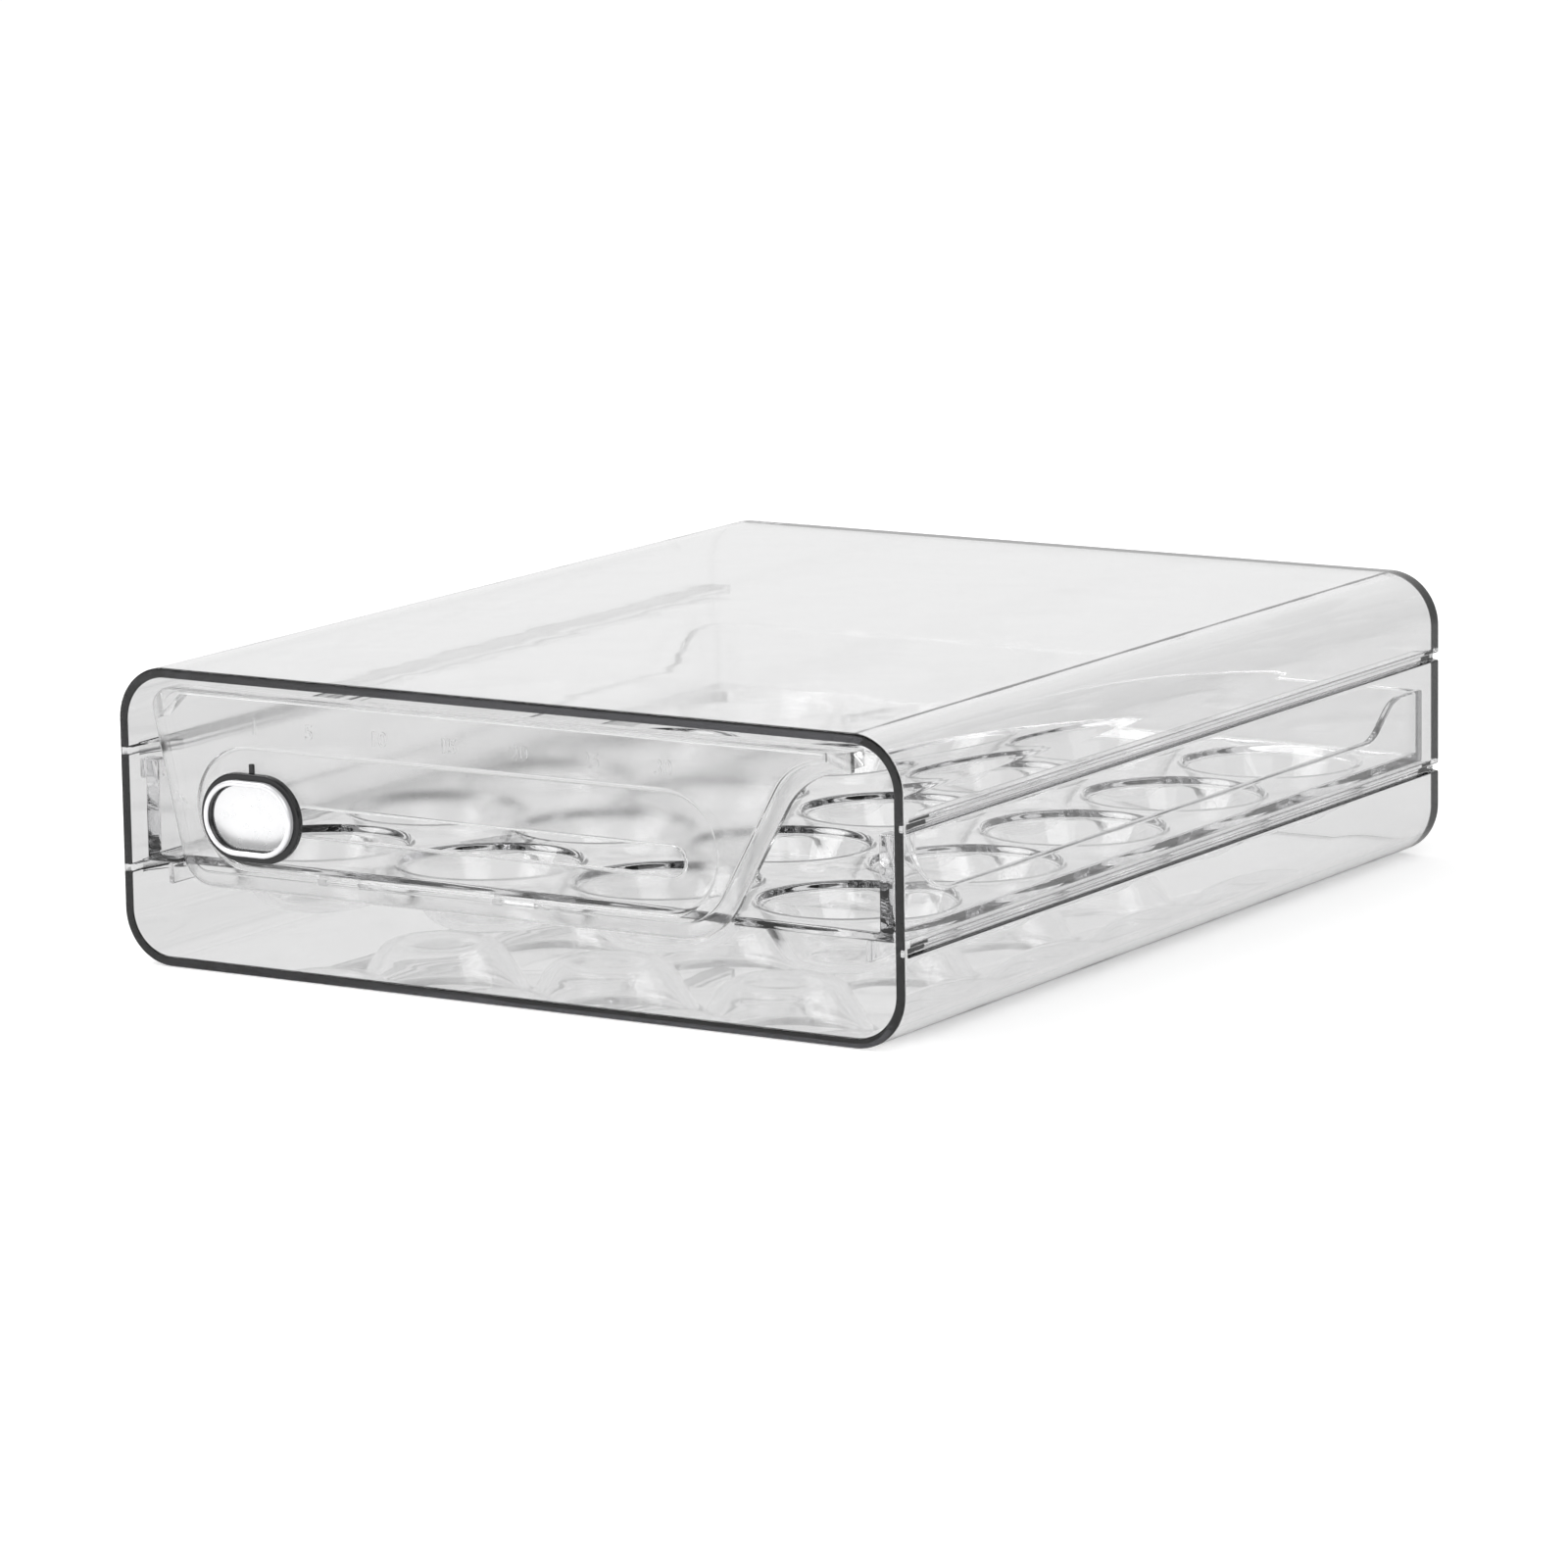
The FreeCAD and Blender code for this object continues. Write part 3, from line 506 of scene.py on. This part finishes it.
def flush(loop, half, notches):
    """A section with its notches or rails laid flat on the side: their points move straight to it."""
    low, high = notches[0][1] - NOTCH_MARGIN, notches[1][4] + NOTCH_MARGIN
    on_side = (loop[:, 1] > low) & (loop[:, 1] < high)
    return np.stack([np.where(on_side, np.sign(loop[:, 0]) * half, loop[:, 0]), loop[:, 1]], -1)


def make_case(material):
    """The case: the outer section carried from the back to the front rim, turned over the rim, and the
    inner section carried back to the closed end. Grooves and rails start a little behind the rim."""
    outer = sleeve_outline(CASE_HALF, 0.0, CASE_HEIGHT, CASE_CORNER, GROOVES, *GROOVE_ROUNDS)
    inner = sleeve_outline(INNER_HALF, CASE_WALL, INNER_TOP, CASE_CORNER - CASE_WALL, RAILS, *RAIL_ROUNDS)
    outer_rim = flush(outer, CASE_HALF, GROOVES)
    inner_rim = flush(inner, INNER_HALF, RAILS)
    rim = CASE_FRONT + RIM_ROUND + CASE_HOLD
    groove = GROOVE_START + GROOVE_STEP
    rail = RAIL_START + RAIL_RAMP
    outside = (
        (outer, CASE_BACK - BACK_ROUND - CASE_HOLD),
        (outer, groove + CASE_HOLD),
        (outer, groove),
        (outer_rim, GROOVE_START),
        (outer_rim, rim),
    )
    inside = (
        (inner_rim, rim),
        (inner_rim, RAIL_START - CASE_HOLD),
        (inner_rim, RAIL_START),
        (inner, rail),
        (inner, rail + CASE_HOLD),
        (inner, INNER_BACK - BACK_ROUND - CASE_HOLD),
    )
    turn, turn_back = quarter(), quarter()[::-1]
    rows = [stand(inset(outer, BACK_ROUND + BACK_HOLD), CASE_BACK)]
    rows += [stand(inset(outer, BACK_ROUND * a), CASE_BACK - BACK_ROUND * b) for a, b in turn]
    rows += [stand(loop, depth) for loop, depth in outside]
    rows += [stand(inset(outer_rim, RIM_ROUND * a), CASE_FRONT + RIM_ROUND * b) for a, b in turn_back]
    rows += [stand(inset(inner_rim, -RIM_ROUND * a), CASE_FRONT + RIM_ROUND * b) for a, b in turn]
    rows += [stand(loop, depth) for loop, depth in inside]
    rows += [stand(inset(inner, BACK_ROUND * a), INNER_BACK - BACK_ROUND * b) for a, b in turn_back]
    rows.append(stand(inset(inner, BACK_ROUND + BACK_HOLD), INNER_BACK))
    patch = grid_patch(np.stack(rows), loop_columns=True, caps=True)
    return make_piece("case", [patch], "case", material, ["case_shell"])


def cup_cells(profile):
    """Egg cups, four across and five deep: a profile of (radius, height) turned about each cup's middle,
    with its last point drawn out to the square round the cup."""
    angle = np.arange(CUP_TURN) * 2 * np.pi / CUP_TURN
    cos, sin = np.cos(angle), np.sin(angle)
    square = CUP_PITCH / 2 / np.maximum(np.abs(cos), np.abs(sin))
    radius = np.repeat(profile[:, :1], CUP_TURN, 1)
    radius = np.concatenate([radius, square[None]])
    height = np.append(profile[:, 1], profile[-1, 1])
    cell = np.stack([radius * cos, radius * sin, np.repeat(height[:, None], CUP_TURN, 1)], -1)
    across = CUP_PITCH * (np.arange(CUPS_ACROSS) + 0.5) - ARRAY_HALF
    deep = CUP_PITCH * (np.arange(CUPS_DEEP) + 0.5) + ARRAY_FRONT
    x, y = np.meshgrid(across, deep)
    middles = np.stack([x.ravel(), y.ravel(), np.zeros(x.size)], -1)
    return [grid_patch(cell + middle, loop_columns=True) for middle in middles]


def cell_edges(count):
    """Places along a row of cells where the cups' spokes meet the edge, from 0 to the row's end."""
    spoke = np.arange(-CUP_TURN // 8, CUP_TURN // 8 + 1) * 2 * np.pi / CUP_TURN
    along = CUP_PITCH / 2 * (1 + np.tan(spoke))
    starts = CUP_PITCH * np.arange(count)
    return np.unique(np.round((starts[:, None] + along).ravel(), 6))


def wall_height(depth):
    """Height of the tray's side wall along its length: high at the front post, a sweep down to a low
    run, and a gentler sweep up to the height of the back wall."""
    corners = (
        (CASE_FRONT, POST_TOP),
        (POST_BACK, POST_TOP),
        (LOW_RUN[0], LOW_RUN_TOP),
        (LOW_RUN[1], LOW_RUN_TOP),
        (BACK_LAND, BACK_WALL_TOP),
        (CASE_BACK, BACK_WALL_TOP),
    )
    line = rounded(corners, WALL_LINE_ROUNDS, (0, 4, 20, 12, 12, 0), [1] * 5, closed=False)
    return np.interp(depth, line[:, 0], line[:, 1])


def wall_profile(inner, outer, top, draw, foot):
    """Section of the tray's edge: deck, wall up, over and down again, and the underside of the deck.
    It is drawn in by a distance towards its own middle at the wall's front end."""
    zero = np.zeros_like(top)
    corners = np.stack([
        np.stack([zero, DECK_TOP - draw], -1),
        np.stack([inner + draw, DECK_TOP - draw], -1),
        np.stack([inner + draw, top - draw], -1),
        np.stack([outer - draw, top - draw], -1),
        np.stack([outer - draw, DECK_BASE + draw], -1),
        np.stack([zero, DECK_BASE + draw], -1),
    ], -2)
    edge = np.maximum(WALL_ROUND - draw, 0.05)
    radii = np.stack([zero, foot + draw, edge, edge, edge, zero], -1)
    return rounded(corners, radii, (0, 4, 4, 4, 4, 0), (0, 2, 0, 2, 1), closed=False, hold=0.25)


def back_profile():
    """Section of the tray's back wall, as points of (back from the cups, up)."""
    zero = np.zeros(1)
    return wall_profile(zero, zero + TRAY_WALL, zero + BACK_WALL_TOP, zero, zero)[0]


def front_edge(across):
    """The deck's front edge: one round-edged section set at places across the deck. The wings beside
    the plate reach further forward, with a short step between."""
    corners = (
        (ARRAY_FRONT, DECK_TOP),
        (DECK_FRONT, DECK_TOP),
        (DECK_FRONT, DECK_BASE),
        (ARRAY_FRONT, DECK_BASE),
    )
    radii, steps = (0, EDGE_ROUND, EDGE_ROUND, 0), (0, EDGE_STEPS, EDGE_STEPS, 0)
    edge = rounded(corners, radii, steps, (0, 0, 0), closed=False)
    wing = (across < WINGS[0]) | (across > WINGS[1])
    ends = np.flatnonzero(np.diff(wing)) + np.array([[0], [1]])
    lined = across.copy()
    lined[ends] = np.array(WINGS) + np.array([[-WING_STEP, 0.0], [0.0, WING_STEP]])
    ahead = edge[:, 0] < (ARRAY_FRONT + DECK_FRONT) / 2
    x = np.where(ahead, lined[:, None], across[:, None])
    y = edge[:, 0] + np.where(ahead & wing[:, None], WING_FRONT - DECK_FRONT, 0.0)
    return np.stack(np.broadcast_arrays(x, y, edge[None, :, 1]), -1)


def side_wall(deep):
    """The right side wall: its section set at places along the tray, closer together at the sweeps. Its
    inner side moves out from the thick post to the wall by a smooth step. The deck's own points stay
    at the cups' spokes, and the last row is the corner with the back wall."""
    hold = HOLD_LIMIT * (ARRAY_FRONT - DECK_FRONT - EDGE_ROUND)
    turn = quarter()
    ends = [WING_FRONT + EDGE_ROUND + hold, ARRAY_FRONT - hold]
    lead = np.concatenate([WING_FRONT + EDGE_ROUND * turn[:, 1], ends])
    draw = np.concatenate([EDGE_ROUND * turn[:, 0], np.zeros(len(ends) + len(deep))])
    even = np.linspace(0.0, 1.0, len(deep))
    along = np.concatenate([lead, np.interp(even, WALL_SHARES, WALL_SPOTS)])
    step = np.clip((along - POST_BACK) / POST_TAPER, 0, 1)
    inner = POST_IN + (SIDE_WALL_IN - POST_IN) * step * step * (3 - 2 * step)
    section = wall_profile(inner, np.full(len(along), SIDE_WALL_OUT), wall_height(along), draw, WALL_FOOT)
    depth = np.repeat(along[:, None], section.shape[1], 1)
    depth[:, 0] = depth[:, -1] = np.concatenate([lead, deep])
    depth[-1] = ARRAY_BACK + back_profile()[:, 0]
    return np.stack([ARRAY_HALF + section[..., 0], depth, section[..., 1]], -1)


def tray_blocks():
    """Small blocks at the tray's front corners: a skid under the deck and a guide tab beside the post."""
    blocks = (
        (SKID, DECK_BASE - BLOCK_GAP, WING_FRONT + SKID_LENGTH),
        (GUIDE_TAB, POST_TOP, POST_BACK),
    )
    patches = []
    for side in (-1, 1):
        for (near, far, base), top, back in blocks:
            outline = box_outline(near, far, base, top, BLOCK_CORNER) * (side, 1)
            patches.append(slab(outline[::side], WING_FRONT, back, BLOCK_EDGE, BLOCK_HOLD))
    return patches


def make_tray(material):
    """The tray in one skin: cups and deck above and below, the deck's front edge, side walls with their
    posts and sweeps, and the back wall. The blocks at the front corners are closed by themselves."""
    patches = []
    for section, radii in ((CUP_INSIDE, CUP_INSIDE_ROUNDS), (CUP_OUTSIDE, CUP_OUTSIDE_ROUNDS)):
        patches += cup_cells(rounded(section, radii, (0, 9, 5, 0), (1, 1, 0), closed=False))
    across = cell_edges(CUPS_ACROSS) - ARRAY_HALF
    deep = cell_edges(CUPS_DEEP) + ARRAY_FRONT
    strip = front_edge(across)
    patches.append(grid_patch(strip))
    right = side_wall(deep)
    left = right * (-1, 1, 1)
    for wall, end in ((right, strip[-1]), (left, strip[0])):
        points, faces = grid_patch(wall)
        seam = np.abs(end[:, 2] - (DECK_TOP + DECK_BASE) / 2) < 0.5
        faces.append(list(range(wall.shape[1])) + [len(points), len(points) + 1])
        patches.append((np.concatenate([points, end[seam][::-1]]), faces))
    back = back_profile()
    middle = np.broadcast_arrays(across[1:-1, None], ARRAY_BACK + back[None, :, 0], back[None, :, 1])
    patches.append(grid_patch(np.concatenate([left[-1:], np.stack(middle, -1), right[-1:]])))
    patches += tray_blocks()
    nodes = [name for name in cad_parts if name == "tray_frame" or name.startswith("egg_cup")]
    return make_piece("tray", patches, "drawer", material, nodes)


def plate_outline(draw, top, tip, radii):
    """Outline of the front plate drawn in by a distance: level top, leaning left side, level foot, and
    the slope that sweeps up to the tip on the right. The tip is a point of (across, up)."""
    base = PLATE_BASE + draw
    left = PLATE_LEFT + draw / math.cos(PLATE_LEAN)
    foot_left = left + math.tan(PLATE_LEAN) * (PLATE_TOP - base)
    foot_right = SWEEP_LOW + draw / math.tan(SWEEP_SLOPE) - draw / math.sin(SWEEP_SLOPE)
    bend = tip[1] - SWEEP_DRAW * draw
    sweep_high = foot_right + (bend - base) / math.tan(SWEEP_SLOPE)
    corners = (
        (tip[0], top),
        (left + math.tan(PLATE_LEAN) * (PLATE_TOP - top), top),
        (foot_left, base),
        (foot_right, base),
        (sweep_high, bend),
        tip,
    )
    return rounded(corners, radii, (0, 8, 12, 16, 16, 0), (14, 6, 14, 6, 0, 0), hold=0.8)


def slot_rings():
    """Rings from the rear of the slot through it, over the recess's floor and up its cove to the face."""
    spans = ((0, 1, 28), (1, 2, 12), (2, 3, 28), (3, 4, 12))
    turn = np.concatenate([np.linspace(*span, endpoint=False) for span in spans])

    def oval(shape, grow, depth):
        """A slot shape grown by a distance, upright at a depth."""
        left, right, middle, radius = shape
        return stand(stadium(turn, left, right, middle, radius + grow), depth)

    ahead, back = quarter(), quarter()[::-1]
    rings = [oval(SLOT, SLOT_EDGE + SLOT_HOLD, PLATE_BACK)]
    rings += [oval(SLOT, SLOT_EDGE * a, PLATE_BACK - SLOT_EDGE * b) for a, b in ahead]
    rings += [oval(SLOT, SLOT_EDGE * a, RECESS_FLOOR + SLOT_EDGE * b) for a, b in back]
    rings.append(oval(SLOT, SLOT_EDGE + SLOT_HOLD, RECESS_FLOOR))
    rings.append(oval(RECESS, -RECESS_COVE - SLOT_HOLD, RECESS_FLOOR))
    rings += [oval(RECESS, -RECESS_COVE * a, RECESS_FLOOR - RECESS_COVE * b) for a, b in ahead]
    rings += [oval(RECESS, RECESS_EDGE * a, PLATE_FRONT + RECESS_EDGE * b) for a, b in back]
    rings.append(oval(RECESS, RECESS_EDGE + RECESS_HOLD, PLATE_FRONT))
    return np.stack(rings)


def border_rings():
    """Rings from the flat face over a small step, down a quarter ellipse to the rim, and round the edge
    to the flat rear. Between face and rim each ring is a mix of the two outlines."""
    rim = plate_outline(0.0, PLATE_TOP, RIM_TIP, RIM_ROUNDS)
    face = plate_outline(PLATE_BORDER, FACE_TOP, FACE_TIP, FACE_ROUNDS)
    flat = plate_outline(FLAT_BORDER, FLAT_TOP, FLAT_TIP, FLAT_ROUNDS)
    bow = np.sin(np.linspace(0.0, np.pi / 2, 13)[1:])
    fall = BORDER_STEP + (1 - BORDER_STEP) * (1 - np.sqrt(1 - bow ** 2))
    steps = [(BORDER_EDGE * (1 - a), BORDER_STEP * b) for a, b in quarter()]
    steps += [(BORDER_EDGE + (1 - BORDER_EDGE) * t, b) for t, b in zip(bow, fall)]
    drop = PLATE_BEVEL - PLATE_FRONT
    rings = [stand(flat, PLATE_FRONT)]
    rings += [stand(face + (rim - face) * t, PLATE_FRONT + drop * b) for t, b in steps]
    rings += [stand(inset(rim, PLATE_EDGE * a), PLATE_BACK - PLATE_EDGE * b) for a, b in quarter()[::-1]]
    rings.append(stand(inset(rim, REAR_HOLD), PLATE_BACK))
    return np.stack(rings)


def set_satin(plate):
    """A satin level at each point of the plate: high on the sloped border and the recess's cove, where
    it grows with depth, and low on the flats, which face straight to the front or back."""
    count = len(plate.data.vertices) * 3
    places, normals = np.zeros(count), np.zeros(count)
    plate.data.vertices.foreach_get("co", places)
    plate.data.vertex_normals.foreach_get("vector", normals)
    depths = places[1::3] / MM
    facing = np.abs(normals[1::3])
    sloped = (depths > SLOPE_DEPTHS[0]) & (depths < SLOPE_DEPTHS[1])
    sloped &= (facing > SLOPE_FACING[0]) & (facing < SLOPE_FACING[1])
    graded = np.clip((depths - PLATE_FRONT) / BORDER_SATIN_DEPTH, *BORDER_SATIN)
    satin = np.where(sloped, graded, FLAT_SATIN * facing ** FLAT_FOCUS)
    plate.data.attributes.new("satin", "FLOAT", "POINT").data.foreach_set("value", satin)


def make_plate(material):
    """The front plate: rings through the slot and recess, rings round the border, and the two flats
    between them. Lip and feet behind it are blocks."""
    slot, border = slot_rings(), border_rings()
    patches = [
        grid_patch(slot, loop_columns=True),
        grid_patch(border, loop_columns=True),
        ring_patch(border[0], slot[-1]),
        ring_patch(border[-1], slot[0]),
    ]
    rear = PLATE_BACK + PLATE_GAP
    lip = rounded(LIP, LIP_CORNER, [4] * len(LIP), [1] * len(LIP), hold=0.2)
    patches.append(slab(lip, rear, PLATE_BACK + LIP_LENGTH, PLATE_EDGE, FOOT_HOLD))
    for left in FEET:
        foot = box_outline(left, left + FOOT_WIDTH, FOOT_BASE, DECK_BASE - BLOCK_GAP, FOOT_CORNER)
        patches.append(slab(foot, rear, PLATE_BACK + FOOT_LENGTH, PLATE_EDGE, FOOT_HOLD))
    plate = make_piece("front_plate", patches, "drawer", material, ["front_panel"])
    set_satin(plate)
    return plate


def make_numerals(material):
    """Raised day numbers above the recess, one every five days. Each is a line of text made a mesh, whose
    points (across, up, out) become (across, depth, up) at that day's place."""
    numbers = []
    for day in DAYS:
        text = bpy.data.curves.new(f"day_{day}", "FONT")
        text.body = str(day)
        text.size = DAY_SIZE
        text.align_x = "CENTER"
        text.align_y = "CENTER"
        text.extrude = DAY_RISE
        text.resolution_u = 4
        holder = bpy.data.objects.new(f"day_{day}", text)
        scene.collection.objects.link(holder)
        bpy.context.view_layer.update()
        shown = holder.evaluated_get(bpy.context.evaluated_depsgraph_get())
        mesh = bpy.data.meshes.new_from_object(shown)
        points = np.zeros(len(mesh.vertices) * 3)
        mesh.vertices.foreach_get("co", points)
        across, up, out = points.reshape(-1, 3).T
        depth = PLATE_FRONT - DAY_RISE - DAY_GAP - out
        placed = np.stack([across + DAY_ZERO + DAY_PITCH * day, depth, up + DAY_LINE], -1)
        numbers.append((placed, [list(face.vertices) for face in mesh.polygons]))
        bpy.data.objects.remove(holder)
        bpy.data.meshes.remove(mesh)
    piece = make_piece("day_numbers", numbers, "drawer", material)
    piece.data.polygons.foreach_set("use_smooth", np.zeros(len(piece.data.polygons), bool))
    return piece


def marker_oval(half, radius):
    """An oval about the marker's middle, as a loop: half its length, and the radius of its round ends."""
    ends = np.linspace(0, 1, 24, endpoint=False)
    runs = np.linspace(0, 1, 6, endpoint=False)
    turn = np.concatenate([ends, 1 + runs, 2 + ends, 3 + runs])
    reach = half - radius
    return stadium(turn, MARKER_X - reach, MARKER_X + reach, MARKER_Z, radius)


def round_well(section):
    """Ovals round the marker's well: each point of a section is (out from the ring's edge, depth)."""
    return np.stack([stand(marker_oval(WELL[0] + out, WELL[1] + out), depth) for out, depth in section])


def make_slide(material):
    """The marker's black slide: a section of well floor, liner, front and side carried round the oval,
    with the stem and the pointer as blocks."""
    middle, side = SLIDE_SIDES
    inner, outer = LINER_SIDES
    corners = (
        (middle, WELL_FLOOR),
        (inner, WELL_FLOOR),
        (inner, LINER_TOP),
        (outer, LINER_TOP),
        (outer, SLIDE_FRONT),
        (side, SLIDE_FRONT),
        (side, SLIDE_BACK),
        (middle, SLIDE_BACK),
    )
    radii = (0, 0.1, 0.08, 0.08, 0.1, 0.4, 0.3, 0)
    section = rounded(corners, radii, (0, 2, 2, 2, 2, 5, 4, 0), [0] * 8, closed=False, hold=0.2)
    left, right = MARKER_X - POINTER_HALF, MARKER_X + POINTER_HALF
    pointer = box_outline(left, right, *POINTER_HEIGHTS, POINTER_CORNER)
    patches = [
        grid_patch(round_well(section), loop_columns=True, caps=True),
        slab(marker_oval(*STEM), STEM_FRONT, STEM_BACK, STEM_EDGE),
        slab(pointer, POINTER_FRONT, SLIDE_BACK, POINTER_EDGE, POINTER_HOLD),
    ]
    make_piece("marker_slide", patches, "marker", material, ["marker_base"])


def make_ring(material):
    """The marker's bright ring: an L-shaped section with a rounded front, carried round the well."""
    lip, wall, side = RING_SIDES
    corners = (
        (wall, SLIDE_FRONT),
        (side, SLIDE_FRONT),
        (side, RING_FRONT),
        (lip, RING_FRONT),
        (lip, LINER_TOP - RING_GAPS[0]),
        (wall, LINER_TOP - RING_GAPS[1]),
    )
    section = rounded(corners, (0.1, 0.1, 0.6, 0.3, 0.1, 0.1), (2, 2, 7, 7, 2, 2), [0] * 6, hold=0.1)
    patch = grid_patch(round_well(section), loop_rows=True, loop_columns=True)
    make_piece("marker_rim", [patch], "marker", material, ["marker_bezel"])


def make_dish(material):
    """The marker's plated dish: ovals that shrink to a line, and rise from it with the fourth power of
    their share of the whole."""
    half, radius = DISH
    rows = [stand(marker_oval(half, radius), DISH_BASE)]
    for share in np.linspace(1.0, 0.001, 16):
        oval = marker_oval(half - radius + radius * share, radius * share)
        rows.append(stand(oval, DISH_MIDDLE - DISH_RISE * share ** 4))
    patch = grid_patch(np.stack(rows), loop_columns=True, caps=True)
    make_piece("marker_dish", [patch], "marker", material, ["marker_face"])


def make_keeper(material):
    """The plate behind the slot that keeps the marker in."""
    keeper = slab(marker_oval(*KEEPER), STEM_BACK, STEM_BACK + KEEPER_DEPTH, KEEPER_EDGE)
    make_piece("marker_keeper", [keeper], "marker", material, ["marker_retainer"])


def by_ray(add, links, other, camera, through, mirrored):
    """A level by kind of ray: each is a number or a socket. Other light comes first, then what the
    camera sees, what is mirrored in the plastic, and what is seen through it."""
    path = add("ShaderNodeLightPath")
    level = other
    kinds = (("Is Camera Ray", camera), ("Is Glossy Ray", mirrored), ("Is Transmission Ray", through))
    for kind, value in kinds:
        choice = add("ShaderNodeMix", data_type="FLOAT")
        links.new(path.outputs[kind], choice.inputs[0])
        for socket, source in ((choice.inputs[2], level), (choice.inputs[3], value)):
            if isinstance(source, float):
                socket.default_value = source
            else:
                links.new(source, socket)
        level = choice.outputs[0]
    return level


def make_floor():
    """A pale floor that keeps a soft shadow. Its glow makes up for the light that it gives back short
    of white. Seen through the plastic it is an even glow, and in reflections the glow is weak."""
    floor_mesh = bpy.data.meshes.new("floor")
    reach, level = 12.0, -0.0003
    corners = [(x * reach, y * reach, level) for x, y in ((-1, -1), (1, -1), (1, 1), (-1, 1))]
    floor_mesh.from_pydata(corners, [], [(0, 1, 2, 3)])
    floor = bpy.data.objects.new("floor", floor_mesh)
    scene.collection.objects.link(floor)
    material, tree, shader, add = new_material("pale_floor")
    pale = by_ray(add, tree.links, FLOOR_PALE, FLOOR_PALE, 0.0, FLOOR_PALE)
    tree.links.new(pale, shader.inputs["Base Color"])
    shader.inputs["Roughness"].default_value = 0.9
    shader.inputs["Specular IOR Level"].default_value = 0.0
    shader.inputs["Emission Color"].default_value = (1.0, 1.0, 1.0, 1.0)
    glow = by_ray(add, tree.links, 0.0, FLOOR_GLOW, FLOOR_THROUGH, FLOOR_MIRRORED)
    tree.links.new(glow, shader.inputs["Emission Strength"])
    floor_mesh.materials.append(material)


def make_world():
    """A white backdrop. What the plastic mirrors or bends falls to grey on the side away from the
    backdrop, by a smooth step of the angle to it, and other light sees an even grey."""
    world = bpy.data.worlds.new("studio")
    scene.world = world
    world.use_nodes = True
    links = world.node_tree.links
    add = node_maker(world.node_tree.nodes)
    background = world.node_tree.nodes["Background"]
    background.inputs["Color"].default_value = (1.0, 1.0, 1.0, 1.0)
    place = add("ShaderNodeTexCoord")
    facing = add("ShaderNodeVectorMath", operation="DOT_PRODUCT")
    facing.inputs[1].default_value = BACKDROP_WAY
    links.new(place.outputs["Generated"], facing.inputs[0])
    fades = []
    for (low, high), full in ((MIRRORED_FADE, 1.0), (THROUGH_FADE, BACKDROP_THROUGH)):
        fade = add("ShaderNodeMapRange", interpolation_type="SMOOTHSTEP")
        fade.inputs["From Min"].default_value = low
        fade.inputs["From Max"].default_value = high
        fade.inputs["To Min"].default_value = DARK_SIDE
        fade.inputs["To Max"].default_value = full
        links.new(facing.outputs["Value"], fade.inputs["Value"])
        fades.append(fade.outputs["Result"])
    level = by_ray(add, links, ROOM_LIGHT, 1.0, fades[1], fades[0])
    links.new(level, background.inputs["Strength"])


def place_on_axes(holder, side, rise, back, place):
    """Turns an object so that its own axes lie along three directions, and moves it to a place."""
    matrix = np.eye(4)
    matrix[:3] = np.stack([side, rise, back, place], -1)
    holder.matrix_world = Matrix(matrix.tolist())


def make_lamps():
    """Two soft square lamps that face the object."""
    for name, place, power in LAMPS:
        lamp = bpy.data.lights.new(name, "AREA")
        lamp.energy = power
        lamp.size = LAMP_SIZE
        holder = bpy.data.objects.new(name, lamp)
        scene.collection.objects.link(holder)
        back = np.array(place) / np.linalg.norm(place)
        side = unit(np.cross((0.0, 0.0, 1.0), back))
        place_on_axes(holder, side, np.cross(back, side), back, place)


def make_camera():
    """The photograph's viewpoint, from a fit to the case's outline: a level and a rise square to the way
    ahead, both turned by the roll."""
    cos_yaw, sin_yaw = math.cos(CAMERA_YAW), math.sin(CAMERA_YAW)
    cos_pitch, sin_pitch = math.cos(CAMERA_PITCH), math.sin(CAMERA_PITCH)
    ahead = np.array([sin_yaw * cos_pitch, cos_yaw * cos_pitch, sin_pitch])
    level = np.array([cos_yaw, -sin_yaw, 0.0])
    rise = np.cross(level, ahead)
    camera = bpy.data.cameras.new("camera")
    camera.sensor_width = 36.0
    camera.lens = CAMERA_LENS
    camera.clip_end = 60.0
    holder = bpy.data.objects.new("camera", camera)
    scene.collection.objects.link(holder)
    cos_roll, sin_roll = math.cos(CAMERA_ROLL), math.sin(CAMERA_ROLL)
    side = level * cos_roll + rise * sin_roll
    up = rise * cos_roll - level * sin_roll
    place_on_axes(holder, side, up, -ahead, CAMERA_PLACE)
    scene.camera = holder


plate_plastic = clear_plastic("clear_plate", density=2.0, wave=0.7, stretch=3.0, satin=0.28)
black_plastic = black_gloss("black_plastic")
make_case(clear_plastic("clear_case", density=10.0, wave=0.04, stretch=1.0))
make_tray(clear_plastic("clear_tray", density=7.0, wave=0.25, stretch=1.0))
make_plate(plate_plastic)
make_numerals(plate_plastic)
make_slide(black_plastic)
make_ring(plated("bright_plating", (0.93, 0.93, 0.95), metal=0.4, roughness=0.2, grain=200.0))
make_dish(plated("pearl_plating", (0.93, 0.93, 0.94), metal=0.85, roughness=0.26, grain=500.0))
make_keeper(black_plastic)
make_floor()
make_world()
make_lamps()
make_camera()

scene.view_settings.view_transform = "Standard"
scene.cycles.max_bounces = BENDS
scene.cycles.transmission_bounces = BENDS
scene.cycles.glossy_bounces = MIRRORINGS
scene.cycles.transparent_max_bounces = MIRRORINGS
